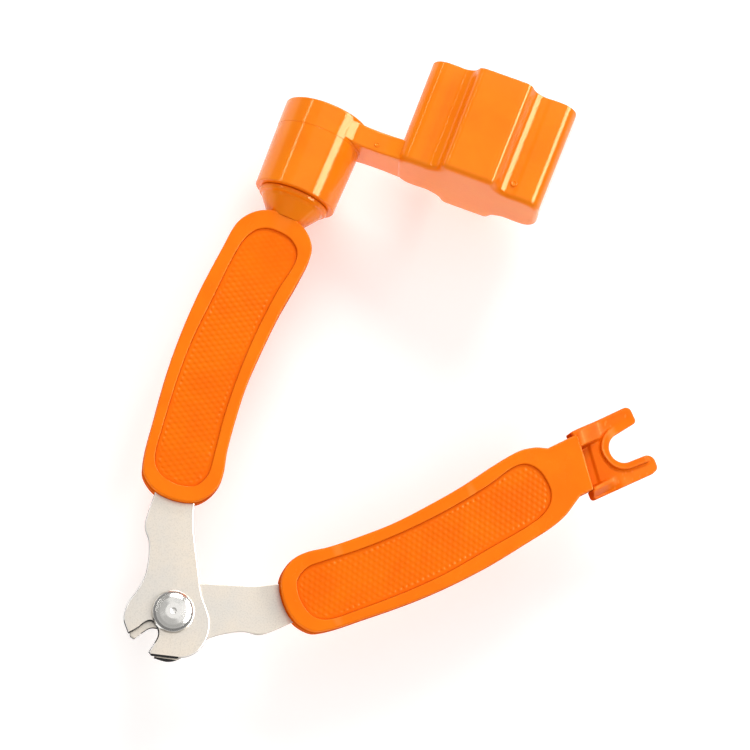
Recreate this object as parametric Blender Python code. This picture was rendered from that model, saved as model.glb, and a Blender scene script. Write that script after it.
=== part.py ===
"""Hand-held guitar string winder, string cutter and bridge-pin puller.

Two stamped steel blades cross on a domed rivet like a pair of pliers. Each blade's tang sits
between two plastic grip shells. The winder handle ends in a stem that carries a spinning head
(hub, crank arm and deep peg cup); the puller handle ends in a fork that lifts bridge pins.

Frame: origin at the centre of the rivet's flat back, +Z along the rivet towards its domed head,
+Y parallel to the axis the winder head spins about, pointing from the pivot to the head, +X to
the puller handle's side. Shapes are laid out in millimetres about the mid-plane between the two
blades, then lifted by MID_Z and turned into metres by MM.
"""

import math
from collections import namedtuple

import bmesh
import bpy
from mathutils import Matrix, Vector

MM = 0.001

# ---- shared dimensions (mm) -----------------------------------------------------------------
GAP = 0.3                    # clearance between neighbouring pieces
BISECTOR_DEG = 68.9          # direction of the line midway between the two handles
CRANK_REST_DEG = -9.0        # the crank arm stands 9 degrees up from the handles' plane
MID_Z = 4.35                 # height of the mid-plane above the rivet's flat back

BLADE_T = 1.8
BLADE_Z0 = 0.5 * GAP         # upper blade's face at the mid-plane
BLADE_Z1 = BLADE_Z0 + BLADE_T
RIVET_SHANK_R = 2.5

STEM_X = -11.8               # axis the winder head spins about
CONE_Y0, CONE_R0 = 109.6, 5.2
CONE_Y1, CONE_R1 = 114.4, 8.7
HUB_Y0, HUB_Y1 = 116.7, 141.7
HUB_WEB_Y0, HUB_WEB_Y1 = 132.9, 135.4    # web the retaining screw passes through
SCREW_R = 1.3

FORK_X = -13.3
NECK_SOUTH, NECK_NORTH = 6.6, 8.9    # the neck's sides, measured from FORK_X
NECK_Y1, NECK_SKEW = 117.0, 0.198    # the neck's end at FORK_X, and how it slants

# T-shaped tongues that key the stem and the fork between the grip shells.
Tongue = namedtuple("Tongue", "half_width head_half_width root_y half_t")
STEM_TONGUE = Tongue(half_width=3.2, head_half_width=5.0, root_y=94.0, half_t=2.6)
FORK_TONGUE = Tongue(half_width=4.0, head_half_width=6.0, root_y=99.0, half_t=2.3)
TONGUE_HEAD_LENGTH = 3.6

ORANGE = (1.0, 0.195, 0.006)
ORANGE_DEEP = (1.0, 0.165, 0.005)


def neck_end(across):
    """Y of the neck's slanting end at a distance across from FORK_X, positive to the south."""
    return NECK_Y1 - NECK_SKEW * across


# ---- outlines: x, y and whether the point is a sharp corner ---------------------------------
BLADE_JAW = [
    (-16.2, 27.4, 0), (-15.8, 20.5, 0), (-15.1, 17.6, 0), (-12.7, 14.5, 0), (-11.1, 10.1, 0),
    (-10.3, 5.7, 0), (-10.8, 1.3, 0), (-11.7, -2.5, 0), (-11.2, -6.3, 0), (-8.6, -9.5, 1),
    (-7.0, -7.6, 0), (-5.5, -5.1, 0), (-4.1, -4.3, 0), (-2.4, -5.2, 0), (-1.3, -6.9, 0),
    (-1.4, -9.2, 0), (-1.9, -12.0, 1), (-0.9, -12.6, 1), (5.4, -10.9, 1), (8.1, -9.3, 0),
    (9.9, -7.1, 0), (10.8, -3.8, 0), (10.5, -0.7, 0), (9.2, 2.3, 0), (5.3, 6.9, 0),
    (1.8, 13.0, 0), (-0.7, 17.5, 0), (-3.2, 22.2, 0), (-5.1, 27.3, 0),
]
BLADE_TANG = [
    (-6.9, 33.2, 0), (-8.8, 45.1, 0), (-10.7, 61.1, 0), (-11.1, 83.4, 1), (-12.1, 86.5, 1),
    (-17.1, 86.5, 1), (-18.2, 83.4, 1), (-19.4, 65.1, 0), (-18.2, 47.1, 0), (-16.8, 35.2, 0),
]
# The lower jaw differs at these BLADE_JAW indices, so that it lies behind the upper one at rest.
LOWER_JAW = {18: (5.2, -10.7, 1), 19: (7.2, -8.6, 0), 20: (8.6, -6.2, 0), 21: (10.1, -3.4, 0)}
TANG_HOLES = [(-13.6, 43.0, 2.0), (-15.4, 78.0, 2.0)]    # x, y, radius

# A grip runs from the pivot end up the outer side, round one of two ends, down the inner side.
GRIP_OUTER = [
    (-13.3, 26.7, 0), (-18.0, 27.9, 0), (-21.6, 31.5, 0), (-24.0, 45.3, 0), (-25.8, 62.2, 0),
    (-26.0, 79.1, 0), (-24.7, 95.1, 0),
]
GRIP_ROUND_END = [
    (-23.7, 102.9, 0), (-21.0, 107.2, 0), (-17.3, 109.6, 0), (-12.9, 110.5, 0),
    (-7.9, 109.5, 0), (-4.0, 107.0, 0), (-1.8, 103.0, 0),
]
GRIP_NECK_END = [
    (-24.0, 101.3, 0), (-22.8, 105.7, 0), (-21.0, 109.4, 0),
    (FORK_X - NECK_SOUTH, 111.6, 1), (FORK_X - NECK_SOUTH, neck_end(NECK_SOUTH), 1),
    (FORK_X + NECK_NORTH, neck_end(-NECK_NORTH), 1), (FORK_X + NECK_NORTH, 109.4, 1),
    (-2.7, 106.3, 0), (-1.7, 102.0, 0),
]
GRIP_INNER = [
    (-2.1, 95.1, 0), (-3.5, 83.9, 0), (-4.2, 72.7, 0), (-4.4, 62.4, 0), (-3.7, 53.2, 0),
    (-2.6, 44.2, 0), (-1.2, 37.7, 0), (-1.5, 33.5, 0), (-4.0, 29.4, 0), (-7.6, 27.4, 0),
]
RECESS = [
    (-12.9, 31.0, 0), (-17.0, 32.0, 0), (-19.6, 35.2, 0), (-20.9, 43.6, 0), (-22.2, 57.5, 0),
    (-22.5, 68.5, 0), (-21.8, 80.7, 0), (-20.6, 97.0, 0), (-18.8, 102.1, 0), (-15.9, 104.5, 0),
    (-12.4, 105.0, 0), (-8.5, 104.3, 0), (-5.7, 101.8, 0), (-5.1, 98.1, 0), (-6.5, 89.8, 0),
    (-7.6, 76.6, 0), (-7.7, 64.5, 0), (-7.0, 52.5, 0), (-5.4, 40.6, 0), (-5.1, 36.3, 0),
    (-6.8, 32.7, 0), (-9.6, 31.3, 0),
]
BLADE_STEP, GRIP_STEP = 3.0, 4.0     # target spacing of spline points


# ---- scene helpers --------------------------------------------------------------------------
def material(name, colour, roughness, metallic):
    mat = bpy.data.materials.new(name)
    mat.use_nodes = True
    shader = mat.node_tree.nodes["Principled BSDF"]
    shader.inputs["Base Color"].default_value = (*colour, 1.0)
    shader.inputs["Roughness"].default_value = roughness
    shader.inputs["Metallic"].default_value = metallic
    return mat


def steel(name, roughness, colour=(0.78, 0.75, 0.70)):
    return material(name, colour, roughness, metallic=1.0)


def plastic(name, roughness, colour=ORANGE):
    return material(name, colour, roughness, metallic=0.0)


def add_empty(name, location):
    obj = bpy.data.objects.new(name, None)
    obj.location = (Vector(location) + Vector((0, 0, MID_Z))) * MM
    bpy.context.collection.objects.link(obj)
    return obj


def add_object(name, solid, mat=None, parent=None):
    """Puts a bmesh laid out in millimetres about the mid-plane into the scene, in metres."""
    bmesh.ops.recalc_face_normals(solid, faces=solid.faces)
    bmesh.ops.translate(solid, vec=(0, 0, MID_Z), verts=solid.verts)
    bmesh.ops.transform(solid, matrix=Matrix.Scale(MM, 4), verts=solid.verts)
    if parent:
        bmesh.ops.translate(solid, vec=-parent.location, verts=solid.verts)
    mesh = bpy.data.meshes.new(name)
    solid.to_mesh(mesh)
    solid.free()
    mesh.shade_smooth()
    mesh.set_sharp_from_angle(angle=math.radians(32))
    obj = bpy.data.objects.new(name, mesh)
    bpy.context.collection.objects.link(obj)
    obj.parent = parent
    if mat:
        mesh.materials.append(mat)
    return obj


def boolean(target, operation, name, solid, parent=None):
    """Adds solid as a hidden helper object and joins it to the target or cuts it away."""
    helper = add_object(name, solid, parent=parent)
    helper.hide_render = True
    helper.display_type = "WIRE"
    mod = target.modifiers.new(operation.lower(), "BOOLEAN")
    mod.operation = operation
    mod.solver = "EXACT"
    mod.object = helper


# ---- planar loops ---------------------------------------------------------------------------
def smooth_loop(points, step):
    """Closed Hermite spline through the points; it meets sharp corners along the chord."""
    count = len(points)
    loop = []
    for i, first in enumerate(points):
        last = points[(i + 1) % count]
        before = first if first[2] else points[i - 1]
        after = last if last[2] else points[(i + 2) % count]
        start, end = Vector(first[:2]), Vector(last[:2])
        chord = end - start
        length = chord.length
        start_tangent = (end - Vector(before[:2])).normalized() * length
        end_tangent = (Vector(after[:2]) - start).normalized() * length
        bend = max((start_tangent - chord).length, (end_tangent - chord).length)
        # a nearly straight span needs no points between its ends
        pieces = 1 if bend < 0.02 * length else max(2, round(length / step))
        for k in range(pieces):
            t = k / pieces
            loop.append(start * (2 * t**3 - 3 * t**2 + 1) + start_tangent * (t**3 - 2 * t**2 + t)
                        + end * (-2 * t**3 + 3 * t**2) + end_tangent * (t**3 - t**2))
    return loop


def offset(loop, distance):
    """Moves a closed loop inwards by distance (outwards if negative), mitring each corner."""
    count = len(loop)
    doubled_area = sum(loop[i - 1].x * loop[i].y - loop[i].x * loop[i - 1].y
                       for i in range(count))
    winding = 1.0 if doubled_area > 0 else -1.0
    moved = []
    for i, point in enumerate(loop):
        edge_in = (point - loop[i - 1]).normalized()
        edge_out = (loop[(i + 1) % count] - point).normalized()
        normal_in = Vector((-edge_in.y, edge_in.x)) * winding
        normal_out = Vector((-edge_out.y, edge_out.x)) * winding
        mitre = normal_in + normal_out
        mitre = mitre / max(mitre.dot(normal_in), 0.5)
        moved.append(point + mitre * distance)
    return moved


def arc(x, y, radius, start, end, pieces):
    """Points from angle start to angle end, in degrees, both ends included."""
    angles = [math.radians(start + (end - start) * k / pieces) for k in range(pieces + 1)]
    return [(x + radius * math.cos(angle), y + radius * math.sin(angle)) for angle in angles]


def circle(x, y, radius, segments):
    return [Vector(p) for p in arc(x, y, radius, 0, 360, segments)[:-1]]


def mirror_z(side):
    """Closes one side's (x, z) points with their mirror image in z."""
    return [Vector(p) for p in side + [(x, -z) for x, z in reversed(side)]]


def tongue_loop(centre_x, tongue, end_y, grow=0.0):
    """Outline of a tongue up to end_y, widened all round the T by grow."""
    half = tongue.half_width + grow
    head_half = tongue.head_half_width + grow
    root_y = tongue.root_y - grow
    head_y = tongue.root_y + TONGUE_HEAD_LENGTH + grow
    side = [(half, end_y), (half, head_y), (head_half, head_y), (head_half, root_y)]
    return [Vector((centre_x - x, y)) for x, y in side] + [
        Vector((centre_x + x, y)) for x, y in reversed(side)]


# ---- solids ---------------------------------------------------------------------------------
def ring(solid, loop, height, upright=False):
    """Vertices of a planar loop at z = height; an upright one lies in XZ at y = height."""
    if upright:
        return [solid.verts.new((p.x, height, p.y)) for p in loop]
    return [solid.verts.new((p.x, p.y, height)) for p in loop]


def wall(solid, lower, upper):
    for i in range(len(lower)):
        solid.faces.new((lower[i - 1], lower[i], upper[i], upper[i - 1]))


def stack(solid, loop, levels, upright=False):
    """Walls through a loop's rings; levels is a list of (height, inset)."""
    rings = [ring(solid, offset(loop, inset), height, upright) for height, inset in levels]
    for lower, upper in zip(rings, rings[1:]):
        wall(solid, lower, upper)
    return rings


def cap(solid, *rings):
    edges = []
    for verts in rings:
        for i in range(len(verts)):
            pair = (verts[i - 1], verts[i])
            edges.append(solid.edges.get(pair) or solid.edges.new(pair))
    bmesh.ops.triangle_fill(solid, edges=edges, use_beauty=True)


def plate(loop, levels, holes=(), upright=False):
    """Solid plate from a loop and (height, inset) levels; holes are (x, y, radius)."""
    solid = bmesh.new()
    rings = stack(solid, loop, levels, upright)
    low, high = [rings[0]], [rings[-1]]
    for x, y, radius in holes:
        hole = circle(x, y, radius, 20)
        low.append(ring(solid, hole, levels[0][0]))
        high.append(ring(solid, hole, levels[-1][0]))
        wall(solid, low[-1], high[-1])
    cap(solid, *low)
    cap(solid, *high)
    return solid


def slab(loop, z0, z1):
    return plate(loop, [(z0, 0.0), (z1, 0.0)])


def prism(start, end):
    """Solid between two matching faces given as lists of 3D points."""
    solid = bmesh.new()
    start_verts = [solid.verts.new(p) for p in start]
    end_verts = [solid.verts.new(p) for p in end]
    wall(solid, start_verts, end_verts)
    solid.faces.new(start_verts)
    solid.faces.new(end_verts)
    return solid


def turned(profile, segments, axis_x=STEM_X, along="Y"):
    """Solid of revolution from (radius, height) points.

    A profile that starts at radius 0 runs from the axis to its last point, which may be a flat
    end; any other profile is a closed ring.
    """
    solid = bmesh.new()

    def vertex(radius, height, k):
        angle = 2 * math.pi * (k + 0.5) / segments
        x, side = axis_x + radius * math.cos(angle), radius * math.sin(angle)
        return solid.verts.new((x, height, side) if along == "Y" else (x, side, height))

    rows = [[vertex(radius, height, k) for k in range(segments if radius else 1)]
            for radius, height in profile]
    pairs = list(zip(rows, rows[1:]))
    if profile[0][0] != 0:
        pairs.append((rows[-1], rows[0]))
    for row, following in pairs:
        for k in range(segments):
            j = (k + 1) % segments
            if len(row) == 1:
                solid.faces.new((row[0], following[k], following[j]))
            elif len(following) == 1:
                solid.faces.new((row[k], row[j], following[0]))
            else:
                solid.faces.new((row[k], row[j], following[j], following[k]))
    if profile[0][0] == 0 and profile[-1][0] != 0:
        solid.faces.new(rows[-1])
    return solid


def washer(bore_r, outer_r, start, end):
    """Ring profile for turned()."""
    return [(bore_r, start), (outer_r, start), (outer_r, end), (bore_r, end)]


BISECTOR = Vector((math.cos(math.radians(BISECTOR_DEG)), math.sin(math.radians(BISECTOR_DEG)), 0))
TURN_OVER = Matrix.Rotation(math.pi, 4, BISECTOR)


def turn_over(solid):
    """The puller arm is laid out like the winder arm and turned over about the bisector."""
    bmesh.ops.transform(solid, matrix=TURN_OVER, verts=solid.verts)
    return solid


def as_laid_out(solid):
    return solid


# ---- blades ---------------------------------------------------------------------------------
BLADE_CHAMFER = 0.25         # outer face; the face at the mid-plane has half of it


def build_blades(pivot):
    half_chamfer = BLADE_CHAMFER * 0.5
    levels = [(BLADE_Z0, half_chamfer), (BLADE_Z0 + half_chamfer, 0.0),
              (BLADE_Z1 - BLADE_CHAMFER, 0.0), (BLADE_Z1, BLADE_CHAMFER)]
    holes = [(0.0, 0.0, RIVET_SHANK_R + GAP)] + TANG_HOLES
    upper = smooth_loop(BLADE_JAW + BLADE_TANG, BLADE_STEP)
    add_object("blade_upper", plate(upper, levels, holes),
               steel("blade_upper_steel", roughness=0.28))
    lower_jaw = [LOWER_JAW.get(i, point) for i, point in enumerate(BLADE_JAW)]
    lower = smooth_loop(lower_jaw + BLADE_TANG, BLADE_STEP)
    add_object("blade_lower", turn_over(plate(lower, levels, holes)),
               steel("blade_lower_steel", roughness=0.30), pivot)


# ---- pivot rivet and its washer -------------------------------------------------------------
RIVET_HEAD_R, RIVET_HEAD_H = 5.65, 2.5
RIVET_BACK_R = 4.0
RIVET_BACK_FLAT_R = 3.3
RIVET_WASHER_R, RIVET_WASHER_T = 4.9, 0.6


def build_rivet():
    head_z = BLADE_Z1 + GAP
    top_z = head_z + RIVET_HEAD_H
    washer_top_z = -BLADE_Z1 - GAP
    washer_back_z = washer_top_z - RIVET_WASHER_T
    back_z = washer_back_z - GAP
    profile = [
        # domed head, slightly dimpled at its centre
        (0.0, top_z - 0.25), (0.7, top_z - 0.1), (1.3, top_z), (2.6, top_z - 0.12),
        (4.0, top_z - 0.65), (5.1, head_z + 1.1), (RIVET_HEAD_R, head_z + 0.35),
        (RIVET_HEAD_R - 0.1, head_z),
        # shank and back
        (RIVET_SHANK_R, head_z), (RIVET_SHANK_R, back_z), (RIVET_BACK_R, back_z),
        (RIVET_BACK_R - 0.2, back_z - 0.7), (RIVET_BACK_FLAT_R, -MID_Z),
    ]
    add_object("pivot_rivet", turned(profile, 36, axis_x=0.0, along="Z"),
               steel("rivet_steel", roughness=0.12, colour=(0.86, 0.84, 0.81)))
    ring_profile = washer(RIVET_SHANK_R + GAP, RIVET_WASHER_R, washer_top_z, washer_back_z)
    add_object("rivet_washer", turned(ring_profile, 32, axis_x=0.0, along="Z"),
               steel("washer_steel", roughness=0.3, colour=(0.70, 0.68, 0.64)))


# ---- grips ----------------------------------------------------------------------------------
GRIP_HALF_T = 4.8            # mid-plane to outer face
GRIP_EDGE = 0.8              # rounding of the grip's outer edge
GRIP_DRAFT = 0.12            # inward lean of the side walls
RECESS_DEPTH = 1.3
PAD_DROP = 0.35              # pad's face below the grip's face
PAD_CHAMFER = 0.15
BOSS_R = 1.6                 # moulded bosses that pass through the tang
BOSS_ROOT_Z = -2.0
TANG_POCKET_Z0 = -0.6        # the pocket's cutter starts below the tang-side shell
STEM_SEAT_SPREAD = 0.45      # the cone's seat beyond CONE_R1


def grip_half(outline, recess, side):
    """One shell of a grip: side is +1 for the shell that covers the tang, -1 for the other."""
    levels = [(BLADE_Z0, 0.0), (GRIP_HALF_T - GRIP_EDGE, GRIP_DRAFT),
              (GRIP_HALF_T - GRIP_EDGE * 0.3, GRIP_DRAFT + GRIP_EDGE * 0.3),
              (GRIP_HALF_T, GRIP_DRAFT + GRIP_EDGE)]
    solid = bmesh.new()
    rings = stack(solid, outline, [(side * z, inset) for z, inset in levels])
    cap(solid, rings[0])
    rim = ring(solid, recess, side * GRIP_HALF_T)
    floor = ring(solid, recess, side * (GRIP_HALF_T - RECESS_DEPTH))
    wall(solid, rim, floor)
    cap(solid, rings[-1], rim)
    cap(solid, floor)
    return solid


def grip_pad(recess, side):
    low = GRIP_HALF_T - RECESS_DEPTH + GAP
    high = GRIP_HALF_T - PAD_DROP
    return plate(offset(recess, GAP), [(side * low, 0.0), (side * (high - PAD_CHAMFER), 0.0),
                                       (side * high, PAD_CHAMFER)])


def stem_seat():
    return turned([(0.0, CONE_Y0 - GAP), (CONE_R0 + GAP, CONE_Y0 - GAP),
                   (CONE_R1 + STEM_SEAT_SPREAD, CONE_Y1), (0.0, CONE_Y1)], 36)


def build_grip(arm, end_outline, tongue_pocket, pocket_half_t, names, place, parent=None):
    """Two shells and two pads; names are those of the tang-side half and of the other."""
    outline = smooth_loop(GRIP_OUTER + end_outline + GRIP_INNER, GRIP_STEP)
    recess = smooth_loop(RECESS, GRIP_STEP)
    tang_pocket = offset(smooth_loop(BLADE_JAW + BLADE_TANG, BLADE_STEP), -GAP)
    shells = []
    for name, side in zip(names, (1, -1)):
        shells.append(add_object(f"{arm}_grip_{name}", place(grip_half(outline, recess, side)),
                                 plastic(f"{arm}_{name}_shell", roughness=0.22), parent))
        add_object(f"{arm}_pad_{name}", place(grip_pad(recess, side)),
                   plastic(f"{arm}_{name}_pad", roughness=0.38, colour=ORANGE_DEEP), parent)
    cover, plain = shells
    boolean(cover, "DIFFERENCE", f"{arm}_tang_pocket",
            place(slab(tang_pocket, TANG_POCKET_Z0, BLADE_Z1 + GAP)))
    for k, (x, y, _) in enumerate(TANG_HOLES):
        boolean(plain, "UNION", f"{arm}_boss_{k}",
                place(slab(circle(x, y, BOSS_R, 14), BOSS_ROOT_Z, BLADE_Z1)))
    for shell, tag in zip(shells, "ab"):
        boolean(shell, "DIFFERENCE", f"{arm}_tongue_pocket_{tag}",
                place(slab(tongue_pocket, -pocket_half_t, pocket_half_t)))
    return shells


def build_grips(pivot):
    winder_shells = build_grip(
        "winder", GRIP_ROUND_END, tongue_loop(STEM_X, STEM_TONGUE, CONE_Y0 + 1.0, GAP),
        STEM_TONGUE.half_t + GAP, ("front", "back"), as_laid_out)
    for shell, tag in zip(winder_shells, "ab"):
        boolean(shell, "DIFFERENCE", f"stem_seat_{tag}", stem_seat())
    # the puller arm is turned over, so its tang-side shell is the back one
    build_grip(
        "puller", GRIP_NECK_END, tongue_loop(FORK_X, FORK_TONGUE, NECK_Y1 + 2.0, GAP),
        FORK_TONGUE.half_t + GAP, ("back", "front"), turn_over, pivot)


# ---- swivel stem ----------------------------------------------------------------------------
COLLAR_R = 9.8
COLLAR_Y0, COLLAR_Y1 = 115.0, 116.3
SPIGOT_R = 8.2
SPIGOT_Y = 132.6
SPIGOT_CHAMFER = 0.6
SCREW_HOLE_Y, SCREW_HOLE_TIP_Y = 120.5, 119.8


def build_stem():
    profile = [
        (0.0, CONE_Y0), (CONE_R0, CONE_Y0), (CONE_R1, CONE_Y1),
        (CONE_R1 + 0.1, COLLAR_Y0 - 0.25), (COLLAR_R - 0.3, COLLAR_Y0),
        (COLLAR_R, COLLAR_Y0 + 0.3), (COLLAR_R, COLLAR_Y1 - 0.2), (COLLAR_R - 0.2, COLLAR_Y1),
        (SPIGOT_R, COLLAR_Y1), (SPIGOT_R, SPIGOT_Y - SPIGOT_CHAMFER),
        (SPIGOT_R - SPIGOT_CHAMFER, SPIGOT_Y), (SCREW_R + GAP, SPIGOT_Y),
        (SCREW_R + GAP, SCREW_HOLE_Y), (0.0, SCREW_HOLE_TIP_Y),
    ]
    stem = add_object("swivel_stem", turned(profile, 36), plastic("stem_plastic", roughness=0.2))
    # the tongue runs a little into the cone
    tongue = tongue_loop(STEM_X, STEM_TONGUE, CONE_Y0 + 0.8)
    boolean(stem, "UNION", "stem_tongue", slab(tongue, -STEM_TONGUE.half_t, STEM_TONGUE.half_t))


# ---- winder head: hub, crank arm and peg cup ------------------------------------------------
HUB_R0, HUB_R1 = 11.4, 12.2
HUB_BORE_R = 8.5
HUB_TOP_R = 6.6              # well that holds the retaining screw's head
HUB_SCREW_HOLE_R = SCREW_R + 0.6

CUP_X0, CUP_X1 = 10.4, 52.2
CUP_Y0, CUP_Y1 = 134.6, 165.2
CUP_HALF_END = 9.8           # half thickness at the cup's ends
CUP_HALF_MID = 14.9          # half thickness at the cup's middle
CUP_WALL = 1.9
CUP_FLOOR = 2.2
CUP_DRAFT = 0.35
CUP_CORNER = 4.8
# x from the cup's end, z beyond CUP_HALF_END
CUP_STEP = [(8.1, 0.0), (9.2, -0.25), (10.6, 0.2), (12.0, 1.8), (13.0, 3.6), (14.2, 4.45),
            (15.4, CUP_HALF_MID - CUP_HALF_END)]

ARM_Y0, ARM_Y1 = 134.9, 140.8
ARM_EDGE = 0.3
ARM_HALF = 6.9               # half width in z at the waist
# x, half width beyond ARM_HALF
ARM_SIDE = [(STEM_X + 7.3, 2.4), (STEM_X + 9.2, 1.6), (STEM_X + 11.2, 0.7), (STEM_X + 13.6, 0.1),
            (STEM_X + 17.0, 0.0), (CUP_X0 - 1.2, 0.2), (CUP_X0 + 1.2, 0.7)]


def hub_solid():
    return turned([
        (HUB_BORE_R, HUB_Y0), (HUB_R0 - 0.25, HUB_Y0), (HUB_R0, HUB_Y0 + 0.25),
        (HUB_R1, HUB_Y1 - 0.4), (HUB_R1 - 0.4, HUB_Y1), (HUB_TOP_R + 0.3, HUB_Y1),
        (HUB_TOP_R, HUB_Y1 - 0.3), (HUB_TOP_R, HUB_WEB_Y1), (HUB_SCREW_HOLE_R, HUB_WEB_Y1),
        (HUB_SCREW_HOLE_R, HUB_WEB_Y0), (HUB_BORE_R, HUB_WEB_Y0)], 44)


def cup_solid():
    """Open cup with round-cornered ends and a thicker middle, walled up, over and down inside."""
    quarter = arc(CUP_X0 + CUP_CORNER, CUP_HALF_END - CUP_CORNER, CUP_CORNER, 180, 90, 4)
    quarter += [(CUP_X0 + x, CUP_HALF_END + z) for x, z in CUP_STEP]
    half = quarter + [(CUP_X0 + CUP_X1 - x, z) for x, z in reversed(quarter)]
    levels = [(CUP_Y0, CUP_DRAFT + 1.0), (CUP_Y0 + 0.35, CUP_DRAFT + 0.3),
              (CUP_Y0 + 1.2, CUP_DRAFT), (CUP_Y1 - 0.3, 0.0), (CUP_Y1, 0.25),
              (CUP_Y1, CUP_WALL - 0.25), (CUP_Y1 - 0.3, CUP_WALL),
              (CUP_Y0 + CUP_FLOOR, CUP_WALL + CUP_DRAFT)]
    return plate(mirror_z(half), levels, upright=True)


def arm_solid():
    """Crank arm: waisted in z, wider where it meets the hub and the cup."""
    side = [(x, ARM_HALF + extra) for x, extra in ARM_SIDE]
    levels = [(ARM_Y0, ARM_EDGE), (ARM_Y0 + ARM_EDGE, 0.0), (ARM_Y1 - ARM_EDGE, 0.0),
              (ARM_Y1, ARM_EDGE)]
    return plate(mirror_z(side), levels, upright=True)


def build_winder_head(spin):
    head = add_object("winder_head", hub_solid(), plastic("head_plastic", roughness=0.16), spin)
    boolean(head, "UNION", "crank_arm_body", arm_solid(), spin)
    boolean(head, "UNION", "peg_cup_body", cup_solid(), spin)


# ---- retaining screw and washer -------------------------------------------------------------
SCREW_TIP_Y, SCREW_POINT_END_Y = 121.0, 122.0
SCREW_HEAD_R, SCREW_HEAD_H = 3.3, 2.1
SCREW_RIM_H = 0.9            # straight rim of the head, and the floor of its cross
CROSS_LONG, CROSS_SHORT = 1.9, 0.4   # half sizes of each slot of the cross
WASHER_R, WASHER_T = 5.0, 0.8


def build_retaining_screw():
    washer_y = HUB_WEB_Y1 + GAP
    profile = washer(SCREW_R + GAP, WASHER_R, washer_y, washer_y + WASHER_T)
    add_object("retaining_washer", turned(profile, 28),
               steel("small_washer_steel", roughness=0.25, colour=(0.72, 0.70, 0.66)))
    head_y = washer_y + WASHER_T + GAP
    top_y = head_y + SCREW_HEAD_H
    profile = [
        (0.0, SCREW_TIP_Y), (SCREW_R, SCREW_POINT_END_Y), (SCREW_R, head_y),
        (SCREW_HEAD_R, head_y), (SCREW_HEAD_R, head_y + SCREW_RIM_H),
        (SCREW_HEAD_R - 0.6, head_y + 1.7), (1.6, top_y), (0.0, top_y),
    ]
    screw = add_object("retaining_screw", turned(profile, 28),
                       steel("screw_steel", roughness=0.22, colour=(0.66, 0.64, 0.60)))
    y0, y1 = head_y + SCREW_RIM_H, top_y + 0.9
    slots = ((CROSS_LONG, CROSS_SHORT), (CROSS_SHORT, CROSS_LONG))
    for k, (half_x, half_z) in enumerate(slots):
        x0, x1 = STEM_X - half_x, STEM_X + half_x
        low, high = ([(x0, y0, z), (x1, y0, z), (x1, y1, z), (x0, y1, z)]
                     for z in (-half_z, half_z))
        boolean(screw, "DIFFERENCE", f"screw_cross_{k}", prism(low, high))


# ---- bridge-pin fork ------------------------------------------------------------------------
# Laid out across (x, from FORK_X, positive to the south), along (y) and above the mid-plane (z).
FORK_SOUTH, FORK_NORTH = 9.2, 10.0   # the rails' outer sides at their rear ends
FORK_TIP = 9.8                       # the prongs' outer sides at their tips
FORK_Y0, FORK_NORTH_Y0 = 115.3, 117.2
FORK_Y1 = 136.4
TIP_R = 1.7
FORK_TOP, FORK_BOTTOM = 1.3, -3.0
FORK_TOP_EDGE, FORK_BOTTOM_EDGE = 0.3, 0.35
FORK_TOP_FALL = 0.55                 # drop of the top from FORK_Y0 to FORK_Y1
FORK_BOTTOM_RISE = FORK_TOP_FALL * 1.6
NOTCH_Y, NOTCH_R = 129.3, 4.1
NOTCH_MOUTH = 4.6
NECK_CLEARANCE = GAP + 0.02          # fork to the neck's slanting end
FORK_TONGUE_TOP = 0.4

RAIL_CLEARANCE = GAP + 0.1           # rails to the neck's sides
RAIL_TOP = FORK_TOP + 1.3
RAIL_SLOPE_Y0, RAIL_SLOPE_Y1 = 120.0, 131.0
RAIL_FALL = 1.9                      # drop of the rails' top over the slope
RAIL_NORTH_X = -NECK_NORTH - RAIL_CLEARANCE
RAIL_SOUTH_X = NECK_SOUTH + RAIL_CLEARANCE
RAILS = {
    "north": [(0.15 - FORK_NORTH, 117.8), (RAIL_NORTH_X, 117.8), (RAIL_NORTH_X, 119.4),
              (-7.8, 119.7), (-7.8, 123.0), (-9.2, RAIL_SLOPE_Y1), (-9.7, RAIL_SLOPE_Y1)],
    "south": [(FORK_SOUTH - 0.15, 116.1), (RAIL_SOUTH_X, 116.1), (RAIL_SOUTH_X, 123.0),
              (9.1, RAIL_SLOPE_Y1), (9.5, RAIL_SLOPE_Y1)],
}

RAMP_X0, RAMP_X1 = -4.8, 6.2
RAMP_SECTION = [(0.35, 0.2), (0.35, 4.0), (2.95, 0.9), (2.95, 0.2)]    # y beyond the neck, z


def fork_loop():
    """Outline with two prongs round a U notch; its rear clears the neck's end and sides."""
    tip_y = FORK_Y1 - TIP_R
    outer_x = FORK_TIP - TIP_R
    inner_x = NOTCH_MOUTH + TIP_R
    neck_north = -NECK_NORTH - GAP
    neck_south = NECK_SOUTH + GAP
    points = [(neck_north, neck_end(-NECK_NORTH) + NECK_CLEARANCE), (neck_north, FORK_NORTH_Y0),
              (-FORK_NORTH + 0.25, FORK_NORTH_Y0), (-FORK_NORTH, FORK_NORTH_Y0 + 0.4)]
    points += arc(-outer_x, tip_y, TIP_R, 180, 90, 4)
    points += arc(-inner_x, tip_y, TIP_R, 90, 0, 4)
    points += arc(0.0, NOTCH_Y, NOTCH_R, 168, 372, 12)
    points += arc(inner_x, tip_y, TIP_R, 180, 90, 4)
    points += arc(outer_x, tip_y, TIP_R, 90, 0, 4)
    points += [(FORK_SOUTH, FORK_Y0 + 0.8), (FORK_SOUTH - 0.5, FORK_Y0), (neck_south, FORK_Y0),
               (neck_south, neck_end(NECK_SOUTH) + NECK_CLEARANCE)]
    return [Vector(p) for p in points]


def fork_place(solid):
    """Moves a solid from the fork's layout to the turned-over puller arm."""
    lay = Matrix.Translation((FORK_X, 0, 0)) @ Matrix.Rotation(math.pi, 4, "Y")
    bmesh.ops.transform(solid, matrix=lay, verts=solid.verts)
    return turn_over(solid)


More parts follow.
